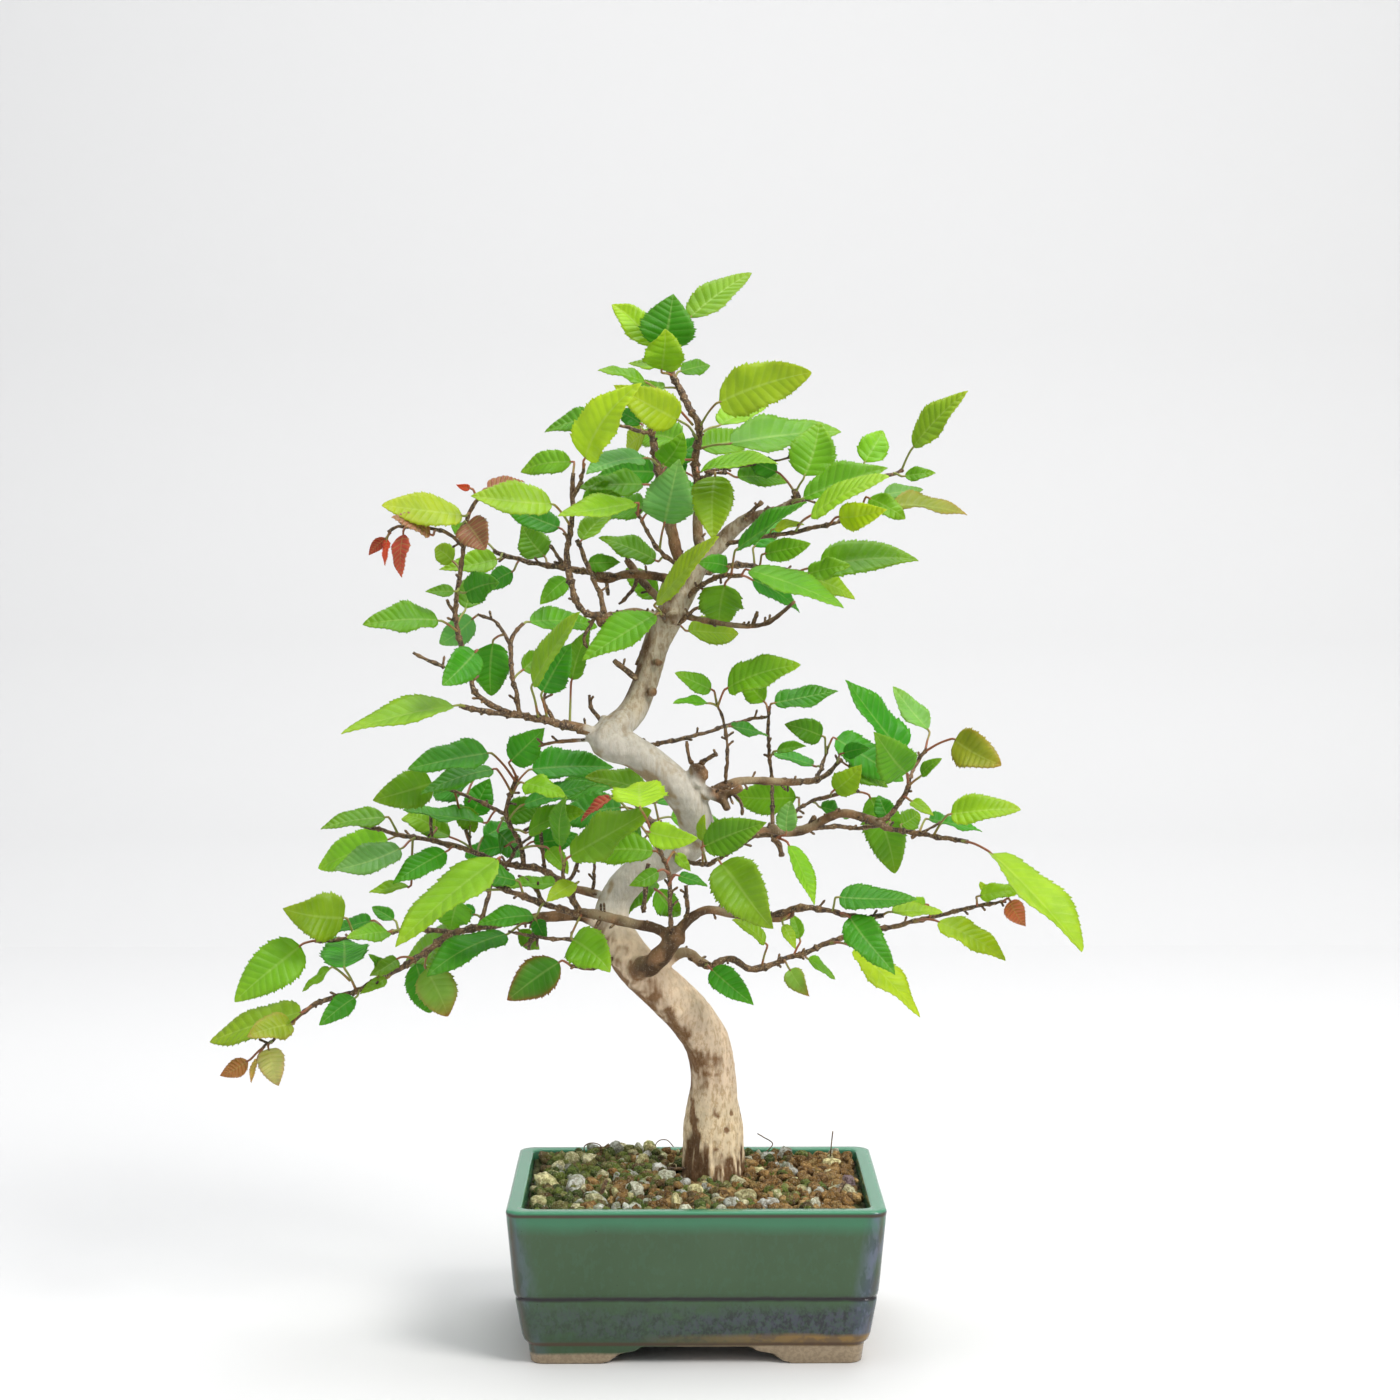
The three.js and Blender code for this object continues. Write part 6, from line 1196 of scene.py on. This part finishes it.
clay = blend_colors(tree, speckle_mask(tree, 700, 0.5), (0.37, 0.285, 0.185), (0.29, 0.22, 0.14))
right_half = number_of(tree, "GREATER_THAN", rightness, 0.45)
bare_foot = number_of(tree, "MAXIMUM", height_band(tree, 0.0046, 0.0034, 0.002, 30),
                      both(tree, height_band(tree, 0.0078, 0.007, 0.001, 30), right_half))
color = blend_colors(tree, bare_foot, color, clay)
color = blend_colors(tree, speckle_mask(tree, 1000, 0.74, 1.0, 0.03), color, (0.02, 0.02, 0.02))
finish(tree, surface, color, 0.2, 0.35)
surface.inputs["Coat Weight"].default_value = 0.15
surface.inputs["Coat Roughness"].default_value = 0.08
raise_relief(tree, surface, speckle_mask(tree, 160, 0.5, 1.0, 0.3), 0.08, 0.0004)
pot.data.materials.clear()
pot.data.materials.append(glaze)
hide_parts("pot")
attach(pot, "root")

# Drainage screens
# Two squares of black plastic mesh lie over the drainage holes and keep the soil in the pot. They are cut
# from a moulded sheet, and the soil holds them down.

screen_plastic, tree, surface = material_of("screen_plastic")
color = blend_colors(tree, speckle_mask(tree, 500, 0.5), (0.018, 0.018, 0.022), (0.03, 0.03, 0.034))
finish(tree, surface, color, 0.55)
for side in ("left", "right"):
    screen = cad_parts[f"drain_screen_{side}"]
    screen.data.materials.clear()
    screen.data.materials.append(screen_plastic)

# Soil
# Bonsai soil is a mix of baked clay, pumice and bark grains, filled in loose. Moss has grown over the left
# part, and the right part shows brown clay grains.

SOIL_EDGE = 0.0596
SOIL_MOUND = 0.0024
SOIL_HEAP = 0.0028
SOIL_BACK = 0.0018
BED_BELOW_GRAINS = 0.0022
GRAIN_COUNT = 1250
TUFT_COUNT, SHOOTS_IN_TUFT = 300, 22
CAVITY_WIDTH, CAVITY_DEPTH = 0.1362, 0.1020


def soil_height(x, y):
    out = (x * 2 / POT_WIDTH) ** 2 + (y * 2 / POT_DEPTH) ** 2
    heap = math.exp(-((x + 0.032) / 0.022) ** 2 - ((y - 0.04) / 0.014) ** 2)
    back = SOIL_BACK * clamp((y - 0.012) / 0.03)
    return SOIL_EDGE + SOIL_MOUND * max(0.0, 1 - out) + SOIL_HEAP * heap + back


bm = bmesh.new()
columns, rows = 90, 66
grid = []
for row in range(rows + 1):
    line = []
    for column in range(columns + 1):
        x = (column / columns - 0.5) * CAVITY_WIDTH
        y = (row / rows - 0.5) * CAVITY_DEPTH
        bump = 0.0011 * noise.noise(Vector((x * 260, y * 260, 3.1)))
        bump += 0.0006 * noise.noise(Vector((x * 700, y * 700, 1.7)))
        line.append(bm.verts.new((x + POT_X, y + POT_Y, soil_height(x, y) - BED_BELOW_GRAINS + bump)))
    grid.append(line)
for low, high in zip(grid, grid[1:]):
    for column in range(columns):
        bm.faces.new((low[column], low[column + 1], high[column + 1], high[column]))
rim_line = grid[0] + [line[-1] for line in grid[1:]]
rim_line += list(reversed(grid[-1][:-1])) + [line[0] for line in reversed(grid[1:-1])]
floor_line = []
for vert in rim_line:
    spot = Vector(((vert.co.x - POT_X) * 0.88 + POT_X, (vert.co.y - POT_Y) * 0.84 + POT_Y, 0.0149))
    floor_line.append(bm.verts.new(spot))
join_rings(bm, [floor_line, rim_line])
bm.faces.new(list(reversed(floor_line)))
for face in bm.faces:
    face.smooth = True
soil = new_piece("soil_bed", bm)

# Grain colours, as linear colours: baked clay, pumice, and clay with moss on it.
CLAY = [(0.3, 0.165, 0.05), (0.4, 0.235, 0.08), (0.22, 0.12, 0.04), (0.48, 0.31, 0.12), (0.34, 0.2, 0.07)]
PUMICE = [(0.8, 0.76, 0.48), (0.74, 0.75, 0.6), (0.56, 0.58, 0.52), (0.84, 0.78, 0.42), (0.78, 0.79, 0.74)]
MOSSY = [(0.15, 0.19, 0.04), (0.085, 0.12, 0.03), (0.28, 0.27, 0.1), (0.13, 0.09, 0.04), (0.22, 0.14, 0.06)]
draw = random.Random("soil grains")
bm = bmesh.new()
grain_tone = bm.verts.layers.float_color.new("grain_tone")
trunk_foot = on_tree(7.6, 62, 7)


def ball_of(subdivisions):
    """Corners and faces of a ball of radius one."""
    ball = bmesh.new()
    bmesh.ops.create_icosphere(ball, subdivisions=subdivisions, radius=1)
    corners = [vert.co.copy() for vert in ball.verts]
    faces = [[vert.index for vert in face.verts] for face in ball.faces]
    ball.free()
    return corners, faces


SMALL_BALL, LARGE_BALL = ball_of(2), ball_of(3)


def add_grain(x, y, z, size, tint, mossed, ball=SMALL_BALL, rough=0.5):
    """A broken, pitted grain; its fourth tone value says how much moss lies on top."""
    corners, faces = ball
    spin = Quaternion((draw.uniform(-1, 1), draw.uniform(-1, 1), draw.uniform(-1, 1)), draw.uniform(0, 6.28))
    squeeze = Vector((draw.uniform(0.8, 1.25), draw.uniform(0.75, 1.1), draw.uniform(0.65, 0.95)))
    offset = Vector((draw.uniform(0, 50), draw.uniform(0, 50), draw.uniform(0, 50)))
    shade = draw.uniform(0.7, 1.15)
    tone = (tint[0] * shade, tint[1] * shade, tint[2] * shade, mossed)
    middle = Vector((x + POT_X, y + POT_Y, z))
    made = []
    for corner in corners:
        swell = 1 + rough * (noise.noise(corner * 0.85 + offset) + 0.6 * noise.noise(corner * 2.5 + offset))
        vert = bm.verts.new(spin @ (corner * squeeze * (swell * size / 2)) + middle)
        vert[grain_tone] = tone
        made.append(vert)
    for face in faces:
        bm.faces.new([made[index] for index in face]).smooth = True


def clear_of_trunk(x, y, gap):
    return math.hypot(x + POT_X - trunk_foot.x, y + POT_Y - trunk_foot.y) > gap


# Larger pale stones, in millimetres: place, size. The purple-grey one lies at the right.
STONES = [
    (17, -7, 6.4), (20, -30, 8.8), (28, -40, 8.8), (47, -38, 7.6), (0, -20, 7), (-25, -18, 8.6),
    (-60, -3, 9.2), (-49, -11, 9.6), (-33, 41, 7.2), (38, 41, 7), (56, 12, 7.6), (62, -16, 7.4),
    (-15, 15, 6.6), (-22, 23, 7.2), (-44, 30, 7.2), (-52, 31, 7), (58, 30, 7), (63, -1, 7), (14, -41, 8),
    (60, -12, 5.5), (-24, 41, 6), (-40, -30, 7), (-12, 2, 7), (-57, 24, 6.5), (-38, 6, 6.6),
    (-62, -32, 7.5), (-8, -38, 6), (40, 14, 5.5),
]
for x, y, size in STONES:
    tint = (0.24, 0.17, 0.19) if (x, y) == (63, -1) else draw.choice(PUMICE)
    spot = (x / 1000, y / 1000)
    add_grain(*spot, soil_height(*spot) + 0.0006, size / 1000, tint, max(0, 0.12 - x / 250), LARGE_BALL, 0.42)
placed = 0
while placed < GRAIN_COUNT:
    size = draw.uniform(0.0034, 0.0062)
    x = draw.uniform(-0.5, 0.5) * (CAVITY_WIDTH - size)
    y = draw.uniform(-0.5, 0.5) * (CAVITY_DEPTH - size)
    if not clear_of_trunk(x, y, 0.0135):
        continue
    mossy = draw.random() < 0.52 - x * 9
    if draw.random() < (0.2 if mossy else 0.06):
        tint = draw.choice(PUMICE)
    else:
        tint = draw.choice(MOSSY if mossy else CLAY)
    mossed = draw.uniform(0.1, 0.8) if mossy else draw.uniform(0, 0.2) * (draw.random() < 0.3)
    add_grain(x, y, soil_height(x, y) + draw.uniform(-0.0022, 0.001), size, tint, mossed)
    placed += 1
grains = new_piece("soil_grains", bm)

grain_clay, tree, surface = material_of("grain_clay")
tone = node_of(tree, "ShaderNodeAttribute", attribute_name="grain_tone")
darker = blend_colors(tree, 1.0, tone.outputs["Color"], (0.5, 0.46, 0.4), "MULTIPLY")
color = blend_colors(tree, speckle_mask(tree, 620, 0.5), tone.outputs["Color"], darker)
color = blend_colors(tree, both(tree, speckle_mask(tree, 2300, 0.62), 0.6), color, (0.62, 0.56, 0.42))
green = blend_colors(tree, speckle_mask(tree, 900, 0.5), (0.09, 0.16, 0.02), (0.2, 0.27, 0.05))
moss_share = both(tree, tone.outputs["Alpha"], speckle_mask(tree, 230, 0.52, 1.0, 0.06))
color = blend_colors(tree, both(tree, moss_share, 0.85), color, green)
finish(tree, surface, color, 0.9, 0.2)
raise_relief(tree, surface, speckle_mask(tree, 1100, 0.5, 1.0, 0.15), 0.8, 0.0006)
grains.data.materials.append(grain_clay)

# The bed under the grains is dark: fine soil, and painted shade in the gaps between the grains.
soil_fines_and_gap_shade, tree, surface = material_of("soil_fines_and_gap_shade")
color = blend_colors(tree, speckle_mask(tree, 240, 0.5), (0.1, 0.065, 0.03), (0.05, 0.035, 0.018))
color = blend_colors(tree, both(tree, speckle_mask(tree, 90, 0.5), 0.7), color, (0.09, 0.11, 0.025))
finish(tree, surface, color, 0.95)
raise_relief(tree, surface, speckle_mask(tree, 500, 0.5), 0.8, 0.001)
soil.data.materials.append(soil_fines_and_gap_shade)

# Moss cushions between the grains, thicker on the left: many short shoots close together.
bm = bmesh.new()
for tuft in range(TUFT_COUNT):
    x = draw.uniform(-0.064, 0.04) if draw.random() < 0.85 else draw.uniform(-0.064, 0.064)
    y = draw.uniform(-0.047, 0.047)
    if draw.random() > 0.7 - x * 9 or not clear_of_trunk(x, y, 0.013):
        continue
    for shoot in range(SHOOTS_IN_TUFT):
        sx, sy = x + draw.gauss(0, 0.0011), y + draw.gauss(0, 0.0011)
        foot_spot = Vector((sx + POT_X, sy + POT_Y, soil_height(sx, sy) - 0.0006))
        rise = 0.0022 - 500 * ((sx - x) ** 2 + (sy - y) ** 2)
        lean_x, lean_y, growth = (draw.gauss(0, 0.0003) for _ in range(3))
        top = foot_spot + Vector((lean_x, lean_y, max(0.0008, rise + growth)))
        wide = Vector((draw.uniform(-1, 1), draw.uniform(-1, 1), 0)).normalized() * 0.00026
        deep = wide.cross(Vector((0, 0, 1)))
        corners = [bm.verts.new(foot_spot + wide), bm.verts.new(foot_spot - wide * 0.5 + deep),
                   bm.verts.new(foot_spot - wide * 0.5 - deep)]
        point = bm.verts.new(top)
        for index in range(3):
            bm.faces.new((corners[index], corners[(index + 1) % 3], point))
        bm.faces.new(list(reversed(corners)))
moss = new_piece("moss", bm)
moss_green, tree, surface = material_of("moss_green")
color = blend_colors(tree, speckle_mask(tree, 150, 0.5), (0.1, 0.17, 0.025), (0.22, 0.27, 0.05))
finish(tree, surface, color, 0.8)
moss.data.materials.append(moss_green)

# Loose root hairs, a root and two chips of bark, in millimetres from the pot's middle: radius, places.
ROOT_HAIRS = [
    (0.25, [(-46, 42, 62), (-47, 42, 66.4), (-44, 42, 68.2), (-40, 42, 67), (-39.5, 42, 63)]),
    (0.25, [(29, 38, 64), (33, 38, 68.5), (29, 38, 71.5), (26.5, 38, 73)]),
    (0.3, [(57.5, 40, 62), (58, 40, 68), (58.6, 40, 73.5)]),
    (0.22, [(-18, 44, 62), (-16, 44, 68), (-12, 44, 69), (-9, 44, 66)]),
    (0.7, [(-11, 12, 64), (-5, 8, 65), (2, 5, 65.5)]),
    (1.0, [(-38.5, -22, 60), (-37.3, -21, 64), (-36, -20, 67)]),
    (0.9, [(55, -26, 61), (57.5, -23, 63), (60, -20, 66)]),
]
bm = bmesh.new()
for radius, row in ROOT_HAIRS:
    points = [Vector((x / 1000 + POT_X, y / 1000 + POT_Y, z / 1000)) for x, y, z in row]
    grow_limb(bm, smooth_line(points, [radius / 1000] * len(points), 0.0008), 6)
root_hairs = new_piece("root_hairs", bm)
root_hairs.data.materials.append(twig_bark)
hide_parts("soil")
for piece in (soil, grains, moss, root_hairs):
    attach(piece, "root")

# Floor, light and camera
# A plain pale floor that curves up into walls, as in a photo studio. A large soft light stands at the front
# right, one hangs above, a weak one fills from the left, and the camera looks from the front.

BACK_WALL, FRONT_WALL = 3.2, 1.7
bm = bmesh.new()
rings = []
for outward, height in ((0, 0), (0.35, 0.04), (0.6, 0.2), (0.72, 0.5), (0.75, BACK_WALL)):
    ring = []
    for corner_x, corner_y, start in ((2.2, -0.1, 0), (-2.2, -0.1, 90), (-2.2, -1.8, 180), (2.2, -1.8, 270)):
        for step in range(13):
            angle = math.radians(start + step * 7.5)
            x = corner_x + (1.1 + outward) * math.cos(angle)
            y = corner_y + (1.1 + outward) * math.sin(angle)
            ring.append(bm.verts.new((x, y, height if y > 0 else min(height, FRONT_WALL))))
    rings.append(ring)
bm.faces.new(rings[0])
for face in join_rings(bm, [list(reversed(ring)) for ring in rings]):
    face.smooth = True
floor = new_piece("floor", bm)
floor_paint, tree, surface = material_of("floor_paint")
finish(tree, surface, (0.7, 0.7, 0.705), 0.8)
floor.data.materials.append(floor_paint)

world = bpy.data.worlds.new("studio")
world.use_nodes = True
world.node_tree.nodes["Background"].inputs["Color"].default_value = (0.97, 0.985, 1, 1)
world.node_tree.nodes["Background"].inputs["Strength"].default_value = 0.66
bpy.context.scene.world = world
for name, place, size, power, color in (
        ("key", (1.1, -1.0, 1.5), 0.7, 30, (1, 0.98, 0.94)),
        ("fill", (-1.6, -0.9, 0.7), 1.4, 4, (0.95, 0.98, 1)),
        ("top", (0.1, 0.3, 1.9), 1.4, 24, (1, 1, 1))):
    light = bpy.data.lights.new(name, "AREA")
    light.size = size
    light.energy = power
    light.color = color
    lamp = bpy.data.objects.new(name, light)
    lamp.location = place
    lamp.rotation_euler = (Vector((0, 0, 0.22)) - Vector(place)).to_track_quat("-Z", "Y").to_euler()
    bpy.context.scene.collection.objects.link(lamp)

lens = bpy.data.cameras.new("front")
lens.sensor_width = 24
lens.lens = 50.006
camera = bpy.data.objects.new("front", lens)
camera.location = (FRONT_EYE.x / 1000 + POT_X, FRONT_EYE.y / 1000 + POT_Y, FRONT_EYE.z / 1000)
camera.rotation_euler = (math.pi / 2 - 0.0714, 0, -0.0087)
bpy.context.scene.collection.objects.link(camera)
bpy.context.scene.camera = camera
bpy.context.scene.view_settings.view_transform = "Standard"
